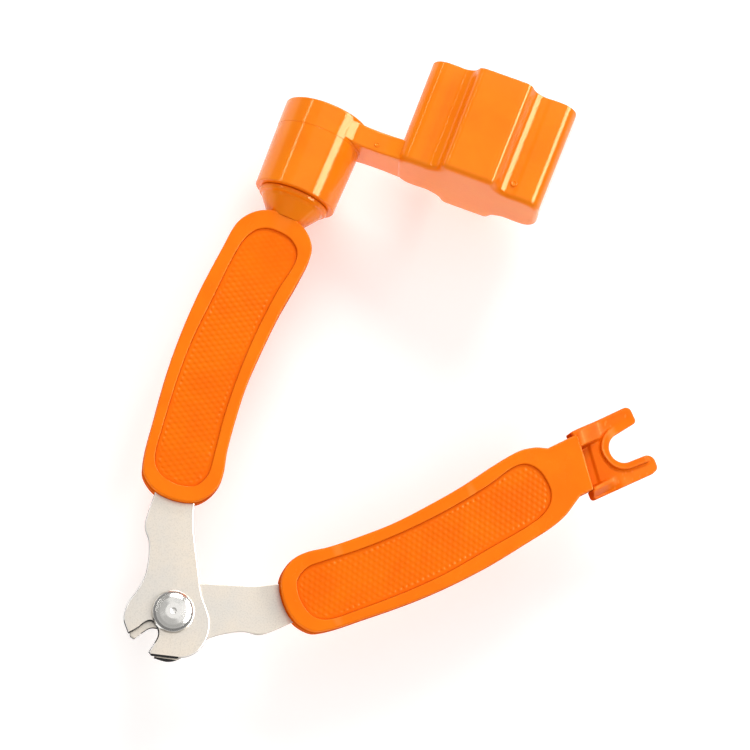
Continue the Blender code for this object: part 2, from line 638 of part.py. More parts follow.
def fork_body():
    """Fork plate, thinned towards its tips."""
    solid = plate(fork_loop(), [
        (FORK_BOTTOM, FORK_BOTTOM_EDGE), (FORK_BOTTOM + FORK_BOTTOM_EDGE, 0.0),
        (FORK_TOP - FORK_TOP_EDGE, 0.0), (FORK_TOP, FORK_TOP_EDGE)])
    for vert in solid.verts:
        along = (vert.co.y - FORK_Y0) / (FORK_Y1 - FORK_Y0)
        is_top = vert.co.z > 0.0
        vert.co.z += -FORK_TOP_FALL * along if is_top else FORK_BOTTOM_RISE * along
    return solid


def fork_rail(outline):
    """Side rail whose top slopes down towards the tips."""
    solid = slab([Vector(p) for p in outline], 0.0, RAIL_TOP)
    for vert in solid.verts:
        if vert.co.z > 1.0:
            along = (vert.co.y - RAIL_SLOPE_Y0) / (RAIL_SLOPE_Y1 - RAIL_SLOPE_Y0)
            vert.co.z -= RAIL_FALL * max(0.0, along)
    return solid


def fork_ramp():
    """Wedge beside the neck's end, highest next to it."""
    north, south = ([(x, neck_end(x) + y, z) for y, z in RAMP_SECTION]
                    for x in (RAMP_X0, RAMP_X1))
    return prism(north, south)


def build_fork(pivot):
    fork = add_object("bridge_pin_fork", fork_place(fork_body()),
                      plastic("fork_plastic", roughness=0.24), pivot)
    # the tongue runs past the neck's end into the fork
    tongue = tongue_loop(0.0, FORK_TONGUE, NECK_Y1 + 3.0)
    boolean(fork, "UNION", "fork_tongue",
            fork_place(slab(tongue, -FORK_TONGUE.half_t, FORK_TONGUE_TOP)))
    for name, outline in RAILS.items():
        boolean(fork, "UNION", f"fork_rail_{name}", fork_place(fork_rail(outline)))
    boolean(fork, "UNION", "fork_ramp", fork_place(fork_ramp()))


# ---- build ----------------------------------------------------------------------------------
for old in list(bpy.data.objects):
    bpy.data.objects.remove(old, do_unlink=True)

cutter_pivot = add_empty("cutter_pivot", (0, 0, 0))
crank_spin = add_empty("crank_spin", (STEM_X, 0.5 * (HUB_Y0 + HUB_Y1), 0))
crank_spin.rotation_euler = (0.0, math.radians(CRANK_REST_DEG), 0.0)

build_blades(cutter_pivot)
build_rivet()
build_grips(cutter_pivot)
build_stem()
build_winder_head(crank_spin)
build_retaining_screw()
build_fork(cutter_pivot)
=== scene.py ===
"""Looks of a hand-held string winder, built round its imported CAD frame.

Shapes are laid out in millimetres about the mid-plane between the two blades: the rivet stands
along Z at the origin, the handles run towards +Y and the front faces +Z. The winder arm lies as
drawn. The puller arm is drawn in the same place, then turned over into its own. The head spins
about a line along Y. bake() turns millimetres into metres and lifts a shape into the frame.
"""

import math

import bmesh
import bpy
import numpy as np
from mathutils import Matrix, Vector, geometry


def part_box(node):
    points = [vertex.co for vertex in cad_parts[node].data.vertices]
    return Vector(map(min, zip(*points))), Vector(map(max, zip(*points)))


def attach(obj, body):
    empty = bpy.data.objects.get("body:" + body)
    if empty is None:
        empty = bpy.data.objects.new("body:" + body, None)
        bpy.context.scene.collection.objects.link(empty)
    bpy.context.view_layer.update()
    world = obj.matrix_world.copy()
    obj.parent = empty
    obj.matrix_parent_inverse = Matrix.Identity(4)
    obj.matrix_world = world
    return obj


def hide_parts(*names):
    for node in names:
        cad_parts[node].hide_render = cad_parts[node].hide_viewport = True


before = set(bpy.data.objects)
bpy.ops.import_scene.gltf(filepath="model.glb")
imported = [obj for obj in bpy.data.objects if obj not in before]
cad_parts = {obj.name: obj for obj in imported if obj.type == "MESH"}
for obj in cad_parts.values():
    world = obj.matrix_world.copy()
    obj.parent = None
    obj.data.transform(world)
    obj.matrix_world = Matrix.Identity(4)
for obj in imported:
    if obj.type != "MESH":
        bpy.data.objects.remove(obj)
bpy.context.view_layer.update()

MILLI = 0.001


def node_box(name):
    low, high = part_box(name)
    return [v / MILLI for v in low], [v / MILLI for v in high]


# ---- sizes and places read from the frame -----------------------------------------------------
UPPER_LOW, UPPER_HIGH = node_box("blade_upper")
LOWER_TOP = node_box("blade_lower")[1][2]
MID_Z = 0.5 * (UPPER_LOW[2] + LOWER_TOP)
GAP = UPPER_LOW[2] - LOWER_TOP
# each blade's near and far face, measured from the mid-plane
BLADE_Z0 = 0.5 * GAP
BLADE_Z1 = BLADE_Z0 + (UPPER_HIGH[2] - UPPER_LOW[2])
STEM_LOW, STEM_HIGH = node_box("swivel_stem")
STEM_X = 0.5 * (STEM_LOW[0] + STEM_HIGH[0])
COLLAR_R = 0.5 * (STEM_HIGH[0] - STEM_LOW[0])
HEAD_LOW, HEAD_HIGH = node_box("winder_head")
HUB_Y0, CUP_Y1 = HEAD_LOW[1], HEAD_HIGH[1]
GRIP_FACE = node_box("winder_grip_front")[1][2] - MID_Z
RIVET_R = node_box("pivot_rivet")[1][0]

# The line in the mid-plane about which the puller arm is turned over, as an angle from X.
BISECTOR = math.radians(68.9)
TURN_OVER = Matrix.Rotation(math.pi, 4, Vector((math.cos(BISECTOR), math.sin(BISECTOR), 0)))
CRANK_ANGLE = math.radians(-9.0)
CRANK_TURN = (Matrix.Translation((STEM_X, 0, 0)) @ Matrix.Rotation(CRANK_ANGLE, 4, "Y")
              @ Matrix.Translation((-STEM_X, 0, 0)))

# Blade and handle outlines: (x, y, 1 at a sharp corner or 0 on a smooth run).
BLADE_JAW = [
    (-16.2, 27.4, 0), (-15.8, 20.5, 0), (-15.1, 17.6, 0), (-12.7, 14.5, 0), (-11.1, 10.1, 0),
    (-10.3, 5.7, 0), (-10.8, 1.3, 0), (-11.7, -2.5, 0), (-11.2, -6.3, 0), (-8.6, -9.5, 1),
    (-7.0, -7.6, 0), (-5.5, -5.1, 0), (-4.1, -4.3, 0), (-2.4, -5.2, 0), (-1.3, -6.9, 0),
    (-1.4, -9.2, 0), (-1.9, -12.0, 1), (-0.9, -12.6, 1), (5.4, -10.9, 1), (8.1, -9.3, 0),
    (9.9, -7.1, 0), (10.8, -3.8, 0), (10.5, -0.7, 0), (9.2, 2.3, 0), (5.3, 6.9, 0),
    (1.8, 13.0, 0), (-0.7, 17.5, 0), (-3.2, 22.2, 0), (-5.1, 27.3, 0),
]
# Points of BLADE_JAW trimmed so that the lower jaw hides behind the upper one at rest.
LOWER_JAW = {18: (5.2, -10.7, 1), 19: (7.2, -8.6, 0), 20: (8.6, -6.2, 0), 21: (10.1, -3.4, 0)}
BLADE_TANG = [
    (-6.9, 33.2, 0), (-8.8, 45.1, 0), (-10.7, 61.1, 0), (-11.1, 83.4, 1), (-12.1, 86.5, 1),
    (-17.1, 86.5, 1), (-18.2, 83.4, 1), (-19.4, 65.1, 0), (-18.2, 47.1, 0), (-16.8, 35.2, 0),
]
# (x, y, radius): the rivet's hole, then two in the tang
BLADE_HOLES = [(0.0, 0.0, 2.8), (-13.6, 43.0, 2.0), (-15.4, 78.0, 2.0)]
# The puller grip's neck: centre line, reach to the outer (-X) and inner (+X) side, and slanted end.
FORK_X, NECK_OUTER, NECK_INNER, NECK_Y1, NECK_SKEW = -13.3, 6.6, 8.9, 117.0, 0.198
GRIP_OUTER = [
    (-13.3, 26.7, 0), (-18.0, 27.9, 0), (-21.6, 31.5, 0), (-24.0, 45.3, 0), (-25.8, 62.2, 0),
    (-26.0, 79.1, 0), (-24.7, 95.1, 0),
]
GRIP_ROUND_END = [
    (-23.7, 102.9, 0), (-21.0, 107.2, 0), (-17.3, 109.6, 0), (-12.9, 110.5, 0),
    (-7.9, 109.5, 0), (-4.0, 107.0, 0), (-1.8, 103.0, 0),
]
GRIP_NECK_END = [
    (-24.0, 101.3, 0), (-22.8, 105.7, 0), (-21.0, 109.4, 0),
    (FORK_X - NECK_OUTER, 111.6, 1), (FORK_X - NECK_OUTER, NECK_Y1 - NECK_SKEW * NECK_OUTER, 1),
    (FORK_X + NECK_INNER, NECK_Y1 + NECK_SKEW * NECK_INNER, 1), (FORK_X + NECK_INNER, 109.4, 1),
    (-2.7, 106.3, 0), (-1.7, 102.0, 0),
]
GRIP_INNER = [
    (-2.1, 95.1, 0), (-3.5, 83.9, 0), (-4.2, 72.7, 0), (-4.4, 62.4, 0), (-3.7, 53.2, 0),
    (-2.6, 44.2, 0), (-1.2, 37.7, 0), (-1.5, 33.5, 0), (-4.0, 29.4, 0), (-7.6, 27.4, 0),
]
RECESS = [
    (-12.9, 31.0, 0), (-17.0, 32.0, 0), (-19.6, 35.2, 0), (-20.9, 43.6, 0), (-22.2, 57.5, 0),
    (-22.5, 68.5, 0), (-21.8, 80.7, 0), (-20.6, 97.0, 0), (-18.8, 102.1, 0), (-15.9, 104.5, 0),
    (-12.4, 105.0, 0), (-8.5, 104.3, 0), (-5.7, 101.8, 0), (-5.1, 98.1, 0), (-6.5, 89.8, 0),
    (-7.6, 76.6, 0), (-7.7, 64.5, 0), (-7.0, 52.5, 0), (-5.4, 40.6, 0), (-5.1, 36.3, 0),
    (-6.8, 32.7, 0), (-9.6, 31.3, 0),
]


# ---- curves -----------------------------------------------------------------------------------
def smooth_loop(points, step=0.8):
    """Closed spline through the control points, straight into the corners."""
    count = len(points)
    out = []
    for i in range(count):
        here, ahead = points[i], points[(i + 1) % count]
        before = here if here[2] else points[i - 1]
        after = ahead if ahead[2] else points[(i + 2) % count]
        start, end = Vector(here[:2]), Vector(ahead[:2])
        chord = (end - start).length
        leave = (end - Vector(before[:2])).normalized() * chord
        arrive = (Vector(after[:2]) - start).normalized() * chord
        pieces = max(1, round(chord / step))
        for k in range(pieces):
            t = k / pieces
            out.append(start * (2 * t**3 - 3 * t**2 + 1) + leave * (t**3 - 2 * t**2 + t)
                       + end * (-2 * t**3 + 3 * t**2) + arrive * (t**3 - t**2))
    return out


def signed_area(loop):
    return 0.5 * sum(loop[i - 1].x * loop[i].y - loop[i].x * loop[i - 1].y
                     for i in range(len(loop)))


def offset(loop, inset):
    """The loop moved inwards by inset; outwards where that is negative."""
    if abs(inset) < 1e-9:
        return loop
    sign = 1.0 if signed_area(loop) > 0 else -1.0
    out = []
    for i, point in enumerate(loop):
        edge_in = (point - loop[i - 1]).normalized()
        edge_out = (loop[(i + 1) % len(loop)] - point).normalized()
        normal_in = Vector((-edge_in.y, edge_in.x)) * sign
        normal_out = Vector((-edge_out.y, edge_out.x)) * sign
        mitre = normal_in + normal_out
        mitre = mitre / max(mitre.dot(normal_in), 0.5)
        out.append(point + mitre * inset)
    return out


def rounded(points, closed=False, seg=6):
    """Polyline of (a, b, radius) with each corner turned into an arc of that radius."""
    out = []
    count = len(points)
    for i, point in enumerate(points):
        radius = point[2] if len(point) > 2 else 0.0
        if radius <= 0 or (not closed and i in (0, count - 1)):
            out.append((point[0], point[1]))
            continue
        here = Vector(point[:2])
        back = Vector(points[i - 1][:2]) - here
        ahead = Vector(points[(i + 1) % count][:2]) - here
        half = 0.5 * back.angle(ahead)
        reach = min(radius / math.tan(half), 0.49 * back.length, 0.49 * ahead.length)
        fitted = reach * math.tan(half)
        middle = (back.normalized() + ahead.normalized()).normalized()
        centre = here + middle * (fitted / math.sin(half))
        start = here + back.normalized() * reach - centre
        end = here + ahead.normalized() * reach - centre
        turn = start.angle_signed(end)
        for k in range(seg + 1):
            arm = start.copy()
            arm.rotate(Matrix.Rotation(-turn * k / seg, 2))
            out.append((centre.x + arm.x, centre.y + arm.y))
    return out


def quarter(k, seg):
    return 0.5 * math.pi * k / seg


def edge_levels(face, radius, inset=0.0, side=1, seg=6):
    """(height, inset) pairs that round a plate's edge up to its face."""
    return [(side * (face - radius + radius * math.sin(quarter(k, seg))),
             inset + radius * (1 - math.cos(quarter(k, seg)))) for k in range(seg + 1)]


def foot_levels(face, radius, inset, seg):
    """(height, inset) pairs that round a plate's edge up from its lower face."""
    return [(face + radius * (1 - math.cos(quarter(k, seg))),
             inset + radius * (1 - math.sin(quarter(k, seg)))) for k in range(seg + 1)]


# ---- meshes -----------------------------------------------------------------------------------
def ring(solid, loop, level, upright=False):
    """Vertices of a loop in XY at height z, or upright: in XZ at place y."""
    if upright:
        return [solid.verts.new((p.x, level, p.y)) for p in loop]
    return [solid.verts.new((p.x, p.y, level)) for p in loop]


def wall(solid, lower, upper):
    for i in range(len(lower)):
        solid.faces.new((lower[i - 1], lower[i], upper[i], upper[i - 1]))


def walls(solid, rings):
    for lower, upper in zip(rings, rings[1:]):
        wall(solid, lower, upper)


def cap(solid, *rings):
    edges = []
    for verts in rings:
        for i in range(len(verts)):
            edges.append(solid.edges.get((verts[i - 1], verts[i]))
                         or solid.edges.new((verts[i - 1], verts[i])))
    bmesh.ops.triangle_fill(solid, edges=edges, use_beauty=True)


def circle(x, y, radius, count):
    turns = [2 * math.pi * k / count for k in range(count)]
    return [Vector((x + radius * math.cos(turn), y + radius * math.sin(turn))) for turn in turns]


def plate(loop, levels, holes=(), upright=False):
    """Closed solid through (height, inset) levels, with straight (x, y, radius) holes."""
    solid = bmesh.new()
    rings = [ring(solid, offset(loop, inset), level, upright) for level, inset in levels]
    walls(solid, rings)
    low, high = [rings[0]], [rings[-1]]
    for x, y, radius in holes:
        low.append(ring(solid, circle(x, y, radius, 48), levels[0][0]))
        high.append(ring(solid, circle(x, y, radius, 48), levels[-1][0]))
        wall(solid, low[-1], high[-1])
    cap(solid, *low)
    cap(solid, *high)
    return solid


def turned(profile, count, centre_x=0.0, along="Y", wobble=None):
    """Solid of revolution of (radius, height) points.

    A profile from radius 0 to radius 0 is a solid, any other a ring."""
    solid = bmesh.new()

    def place(radius, height, k):
        turn = 2 * math.pi * (k + 0.5) / count
        if wobble:
            height = height + wobble(radius, turn)
        x, side = centre_x + radius * math.cos(turn), radius * math.sin(turn)
        return (x, height, side) if along == "Y" else (x, side, height)

    rows = []
    for radius, height in profile:
        copies = 1 if radius < 1e-6 else count
        reach = 0 if copies == 1 else radius
        rows.append([solid.verts.new(place(reach, height, k)) for k in range(copies)])
    pairs = list(zip(rows, rows[1:]))
    if len(rows[0]) > 1:
        pairs.append((rows[-1], rows[0]))
    for row, after in pairs:
        for k in range(count):
            j = (k + 1) % count
            if len(row) == 1:
                solid.faces.new((row[0], after[k], after[j]))
            elif len(after) == 1:
                solid.faces.new((row[k], row[j], after[0]))
            else:
                solid.faces.new((row[k], row[j], after[j], after[k]))
    return solid


def inside(points, loop):
    """Which of the (n, 2) points lie inside the closed loop."""
    poly = np.array([(p.x, p.y) for p in loop])
    x, y = points[:, 0], points[:, 1]
    hit = np.zeros(len(points), bool)
    for (x0, y0), (x1, y1) in zip(poly, np.roll(poly, -1, axis=0)):
        if y0 == y1:
            continue
        hit ^= ((y0 > y) != (y1 > y)) & (x < (x1 - x0) * (y - y0) / (y1 - y0) + x0)
    return hit


def edge_distance(points, loop):
    poly = np.array([(p.x, p.y) for p in loop])
    best = np.full(len(points), 1e9)
    for start, end in zip(poly, np.roll(poly, -1, axis=0)):
        edge = end - start
        share = np.clip(((points - start) @ edge) / max(edge @ edge, 1e-12), 0, 1)
        best = np.minimum(best, np.hypot(*(points - start - share[:, None] * edge).T))
    return best


def sculpted(loop, top, bottom, seg):
    """Closed plate whose faces' heights are functions of the place, with rounded edges.

    top and bottom are (lattice of inner points or None, height function, edge radius)."""
    solid = bmesh.new()
    outer = np.array([(p.x, p.y) for p in loop])
    count = len(outer)
    rims = []
    for (lattice, height, radius), sign in ((top, -1), (bottom, 1)):
        points = [outer]
        for k in range(1, seg + 1):
            inset = radius * (1 - math.cos(quarter(k, seg)))
            points.append(np.array([(p.x, p.y) for p in offset(loop, inset)]))
        if lattice is not None:
            keep = inside(lattice, loop) & (edge_distance(lattice, loop) > radius + 0.08)
            points.append(lattice[keep])
        edges = []
        for k in range(seg + 1):
            edges += [(k * count + i, k * count + (i + 1) % count) for i in range(count)]
        places, _, triangles, origins, _, _ = geometry.delaunay_2d_cdt(
            [Vector(p) for p in np.concatenate(points)], edges, [], 0, 1e-6)
        places = np.array([(v.x, v.y) for v in places])
        away = edge_distance(places, loop)
        arc = radius - np.sqrt(np.maximum(radius**2 - (radius - away)**2, 0))
        z = height(places[:, 0], places[:, 1]) + sign * np.where(away < radius, arc, 0)
        verts = [solid.verts.new((x, y, level)) for (x, y), level in zip(places, z)]
        triangles = np.array(triangles)
        for triangle in triangles[inside(places[triangles].mean(axis=1), loop)]:
            solid.faces.new([verts[i] for i in triangle])
        rim = [None] * count
        for new, olds in enumerate(origins):
            for old in olds:
                if old < count:
                    rim[old] = verts[new]
        rims.append(rim)
        for vert in [v for v in verts if not v.link_faces]:
            solid.verts.remove(vert)
    wall(solid, rims[1], rims[0])
    return solid


def bake(name, solid, matrix=None):
    """Object from a shape in millimetres, lifted into the frame."""
    if matrix is not None:
        bmesh.ops.transform(solid, matrix=matrix, verts=solid.verts)
    bmesh.ops.recalc_face_normals(solid, faces=solid.faces)
    lift = Matrix.Scale(MILLI, 4) @ Matrix.Translation((0, 0, MID_Z))
    bmesh.ops.transform(solid, matrix=lift, verts=solid.verts)
    mesh = bpy.data.meshes.new(name)
    solid.to_mesh(mesh)
    solid.free()
    mesh.shade_smooth()
    mesh.set_sharp_from_angle(angle=math.radians(32))
    return add_object(name, mesh)


def add_object(name, data):
    obj = bpy.data.objects.new(name, data)
    bpy.context.collection.objects.link(obj)
    return obj


def carve(obj, tools):
    """Applies exact Booleans with (operation, shape, matrix) tools, then drops the tools."""
    for operation, solid, matrix in tools:
        tool = bake("tool", solid, matrix)
        cut = obj.modifiers.new("cut", "BOOLEAN")
        cut.operation = operation
        cut.solver = "EXACT"
        cut.object = tool
        bpy.context.view_layer.update()
        evaluated = obj.evaluated_get(bpy.context.evaluated_depsgraph_get())
        mesh = bpy.data.meshes.new_from_object(evaluated)
        obj.modifiers.clear()
        old = obj.data
        obj.data = mesh
        bpy.data.meshes.remove(old)
        bpy.data.objects.remove(tool, do_unlink=True)


def finish_piece(obj, body, cad, materials, angle=32, merge=0.00002):
    """Cleans the mesh (merge in metres), shades it, gives it its materials, hangs it on its body and
    hides the CAD part it stands for.
    """
    solid = bmesh.new()
    solid.from_mesh(obj.data)
    bmesh.ops.remove_doubles(solid, verts=solid.verts, dist=merge)
    bmesh.ops.dissolve_degenerate(solid, dist=1e-6, edges=solid.edges)
    solid.to_mesh(obj.data)
    solid.free()
    obj.data.shade_smooth()
    obj.data.set_sharp_from_angle(angle=math.radians(angle))
    # clearing the materials would lose the faces' indices
    indices = [min(face.material_index, len(materials) - 1) for face in obj.data.polygons]
    obj.data.materials.clear()
    for material in materials:
        obj.data.materials.append(material)
    obj.data.polygons.foreach_set("material_index", indices)
    weighted = obj.modifiers.new("weighted_normals", "WEIGHTED_NORMAL")
    weighted.keep_sharp = True
    weighted.weight = 60
    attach(obj, body)
    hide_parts(cad)


# ---- shader nodes -----------------------------------------------------------------------------
def put(target, **values):
    """Sets a node's inputs (spaces as underscores) or properties; a socket value is linked."""
    for key, value in values.items():
        socket = key.replace("_", " ")
        if socket not in target.inputs:
            setattr(target, key, value)
        elif isinstance(value, bpy.types.NodeSocket):
            target.id_data.links.new(value, target.inputs[socket])
        else:
            target.inputs[socket].default_value = value


def node(tree, kind, **values):
    made = tree.nodes.new("ShaderNode" + kind)
    put(made, **values)
    return made


def noise(tree, where, scale, detail, roughness, distortion=0.0):
    made = node(tree, "TexNoise", Vector=where, Scale=scale, Detail=detail,
                Roughness=roughness, Distortion=distortion)
    return made.outputs["Fac"]


def maths(tree, operation, first, second=None):
    made = node(tree, "Math", operation=operation)
    tree.links.new(first, made.inputs[0])
    if second is not None:
        made.inputs[1].default_value = second
    return made


def ramp(tree, factor, stops):
    """Colour ramp through (position, RGB) stops."""
    made = node(tree, "ValToRGB", Fac=factor)
    elements = made.color_ramp.elements
    for element, (position, colour) in ((elements[0], stops[0]), (elements[1], stops[-1])):
        element.position = position
        element.color = (*colour, 1)
    for position, colour in stops[1:-1]:
        elements.new(position).color = (*colour, 1)
    return made.outputs["Color"]


def shader(name):
    material = bpy.data.materials.new(name)
    material.use_nodes = True
    return material, material.node_tree, material.node_tree.nodes["Principled BSDF"]


# ---- materials --------------------------------------------------------------------------------
BLACK, WHITE = (0, 0, 0), (1, 1, 1)


def plastic(name, colour, deep, rough=0.2, rough_var=0.06, tint=(1.0, 0.58, 0.32), level=0.5,
            painted_shade_tint=None):
    """Glossy moulded plastic: faint flow mottling, orange-peel bump and uneven gloss.

    With a shade tint, faces that look sideways or down take that multiple of the colour and reflect
    less: painted shade. Rounded edges are painted a little lighter: painted highlight."""
    material, tree, bsdf = shader(name)
    where = node(tree, "TexCoord").outputs["Object"]
    cloud = noise(tree, where, scale=90.0, detail=4.0, roughness=0.55, distortion=0.5)
    tone = ramp(tree, cloud, [(0.30, deep), (0.62, colour)])
    # painted highlight: rounded edges are a little lighter
    facing = node(tree, "NewGeometry").outputs
    edge_highlight = ramp(tree, facing["Pointiness"], [(0.50, BLACK), (0.62, WHITE)])
    light = tuple(min(1.0, c * 1.05 + 0.02) for c in colour)
    edge = node(tree, "Mix", data_type="RGBA", Factor=edge_highlight, A=tone, B=(*light, 1))
    last = edge.outputs["Result"]
    if painted_shade_tint:
        # painted shade: faces that look sideways or down are darkened by the shade tint
        tilt = node(tree, "SeparateXYZ", Vector=facing["True Normal"]).outputs["Z"]
        deepen = ramp(tree, tilt, [(0.0, painted_shade_tint), (0.62, WHITE)])
        shade = node(tree, "Mix", data_type="RGBA", blend_type="MULTIPLY")
        # painted shade, in full within 3.1 mm of the mid-plane, mostly faded where the face's
        # rounding starts
        height = node(tree, "SeparateXYZ", Vector=where)
        apart = maths(tree, "SUBTRACT", height.outputs["Z"], MID_Z * MILLI)
        size = maths(tree, "ABSOLUTE", apart.outputs["Value"])
        outer = node(tree, "MapRange", Value=size.outputs["Value"],
                     From_Min=0.0031, From_Max=0.0035, To_Min=1.0, To_Max=0.25)
        put(shade, Factor=outer.outputs["Result"], A=last, B=deepen)
        last = shade.outputs["Result"]
        # the same painted shade also dims their gloss
        dull = node(tree, "MapRange", Value=tilt, From_Min=0.10, From_Max=0.62,
                    To_Min=0.0, To_Max=level)
        put(bsdf, Specular_IOR_Level=dull.outputs["Result"])
    smear = noise(tree, where, scale=260.0, detail=3.0, roughness=0.6)
    gloss = node(tree, "MapRange", Value=smear, To_Min=rough - rough_var, To_Max=rough + rough_var)
    peel = noise(tree, where, scale=700.0, detail=2.0, roughness=0.5)
    fine = noise(tree, where, scale=4200.0, detail=2.0, roughness=0.6)
    both = maths(tree, "ADD", peel)
    weak = maths(tree, "MULTIPLY", fine, 0.25)
    tree.links.new(weak.outputs["Value"], both.inputs[1])
    bump = node(tree, "Bump", Strength=0.35, Distance=0.004 * 0.01, Height=both.outputs["Value"])
    bsdf.inputs["Specular IOR Level"].default_value = level
    put(bsdf, Base_Color=last, Roughness=gloss.outputs["Result"], Normal=bump.outputs["Normal"],
        IOR=1.48, Specular_Tint=(*tint, 1), Subsurface_Weight=0.06,
        Subsurface_Radius=(0.0012, 0.0004, 0.0001), Subsurface_Scale=1.0)
    return material


def steel(name, colour, warm, rough=0.3, rough_var=0.08, streak=(1, 1, 1), speckle=0.35,
          grain=0.004, metallic=1.0):
    """Tumbled sheet steel: warm and cool clouds, fine speckle and faint scratches."""
    material, tree, bsdf = shader(name)
    where = node(tree, "TexCoord").outputs["Object"]
    stretch = node(tree, "Mapping", Scale=streak, Vector=where)
    cloud = noise(tree, where, scale=55.0, detail=5.0, roughness=0.6)
    tone = ramp(tree, cloud, [(0.35, colour), (0.65, warm)])
    dots = noise(tree, stretch.outputs["Vector"], scale=2600.0, detail=3.0, roughness=0.7)
    pits = ramp(tree, dots, [(0.34, (1 - speckle * 0.35,) * 3), (0.52, WHITE)])
    mix = node(tree, "Mix", data_type="RGBA", blend_type="MULTIPLY", Factor=1.0, A=tone, B=pits)
    gloss = node(tree, "MapRange", Value=dots, To_Min=rough + rough_var, To_Max=rough - rough_var)
    bump = node(tree, "Bump", Strength=0.5, Distance=grain * 0.01, Height=dots)
    put(bsdf, Base_Color=mix.outputs["Result"], Roughness=gloss.outputs["Result"],
        Normal=bump.outputs["Normal"], Metallic=metallic)
    return material


# The shell and fork plastics take painted shade on faces that look sideways or down.
SHELL = plastic("orange_shell_plastic", colour=(0.98, 0.203, 0.002), deep=(0.97, 0.172, 0.001),
                rough=0.26, rough_var=0.05, level=0.4, tint=(1.0, 0.48, 0.18),
                painted_shade_tint=(0.55, 0.32, 0.3))
HEAD = plastic("orange_head_plastic", colour=(1.0, 0.240, 0.003), deep=(0.99, 0.205, 0.002),
               rough=0.10, rough_var=0.02, tint=(1.0, 0.64, 0.38), level=0.58)
FORK = plastic("orange_fork_plastic", colour=(0.96, 0.185, 0.001), deep=(0.92, 0.125, 0.001),
               rough=0.40, level=0.28, tint=(1.0, 0.48, 0.18), painted_shade_tint=(0.62, 0.42, 0.4))
STEM = plastic("orange_stem_plastic", colour=(1.0, 0.245, 0.004), deep=(0.99, 0.210, 0.003),
               rough=0.14)
KNURL = plastic("orange_knurled_plastic", colour=(0.97, 0.172, 0.001), deep=(0.96, 0.142, 0.001),
                rough=0.30, rough_var=0.08, tint=(1.0, 0.45, 0.15), level=0.4)
BLADE = steel("tumbled_blade_steel", colour=(0.70, 0.665, 0.615), warm=(0.79, 0.710, 0.610),
              rough=0.34)
# Painted highlight: near-white steel with a faint glow for the blades' rounded edges, lighter than
# the faces as if they caught the light.
HIGHLIGHT_EDGE_STEEL = steel("painted_highlight_edge_steel", colour=(0.98, 0.97, 0.96), warm=(0.98, 0.965, 0.95),
             rough=0.22, speckle=0.1, metallic=0.35)
put(HIGHLIGHT_EDGE_STEEL.node_tree.nodes["Principled BSDF"], Emission_Color=(1, 1, 1, 1), Emission_Strength=0.2)
# Painted shade: near-black steel for the ground slopes at the jaw's flat end and tip and for the
# notch's sides, which lie in shade.
PAINTED_SHADE_STEEL = steel("painted_shade_dark_steel", colour=(0.012, 0.012, 0.013), warm=(0.03, 0.029, 0.028),
               rough=0.5, streak=(1, 12, 1), metallic=0.0)
put(PAINTED_SHADE_STEEL.node_tree.nodes["Principled BSDF"], Specular_IOR_Level=0.08)
SHEARED = steel("sheared_edge_steel", colour=(0.42, 0.41, 0.39), warm=(0.55, 0.53, 0.50),
                rough=0.42, streak=(3, 3, 0.4))
CHROME = steel("polished_rivet_steel", colour=(0.84, 0.83, 0.80), warm=(0.88, 0.865, 0.83),
               rough=0.17, rough_var=0.05, speckle=0.15, grain=0.002)
ZINC = steel("zinc_washer_steel", colour=(0.72, 0.71, 0.68), warm=(0.78, 0.75, 0.69), rough=0.3)

# ---- blades -----------------------------------------------------------------------------------
BLADE_MATERIALS = [BLADE, HIGHLIGHT_EDGE_STEEL, PAINTED_SHADE_STEEL, SHEARED]
HIGHLIGHT_EDGE_INDEX, PAINTED_SHADE_INDEX, SHEARED_INDEX = 1, 2, 3


def outward(start, end):
    """Direction in XY to the right of the way from start to end."""
    along = (Vector((*end, 0)) - Vector((*start, 0))).normalized()
    return Vector((along.y, -along.x, 0))


def grind(solid, point, out, rise):
    """Cuts a slope through the point, leaning from out towards rise, and closes the cut."""
    slant = (out * 0.75 + Vector((0, 0, rise))).normalized()
    cut = bmesh.ops.bisect_plane(
        solid, geom=solid.verts[:] + solid.edges[:] + solid.faces[:], clear_outer=True,
        plane_co=point, plane_no=slant)
    rim = [part for part in cut["geom_cut"] if isinstance(part, bmesh.types.BMEdge)]
    bmesh.ops.triangle_fill(solid, edges=rim, use_beauty=True)
    bmesh.ops.recalc_face_normals(solid, faces=solid.faces)


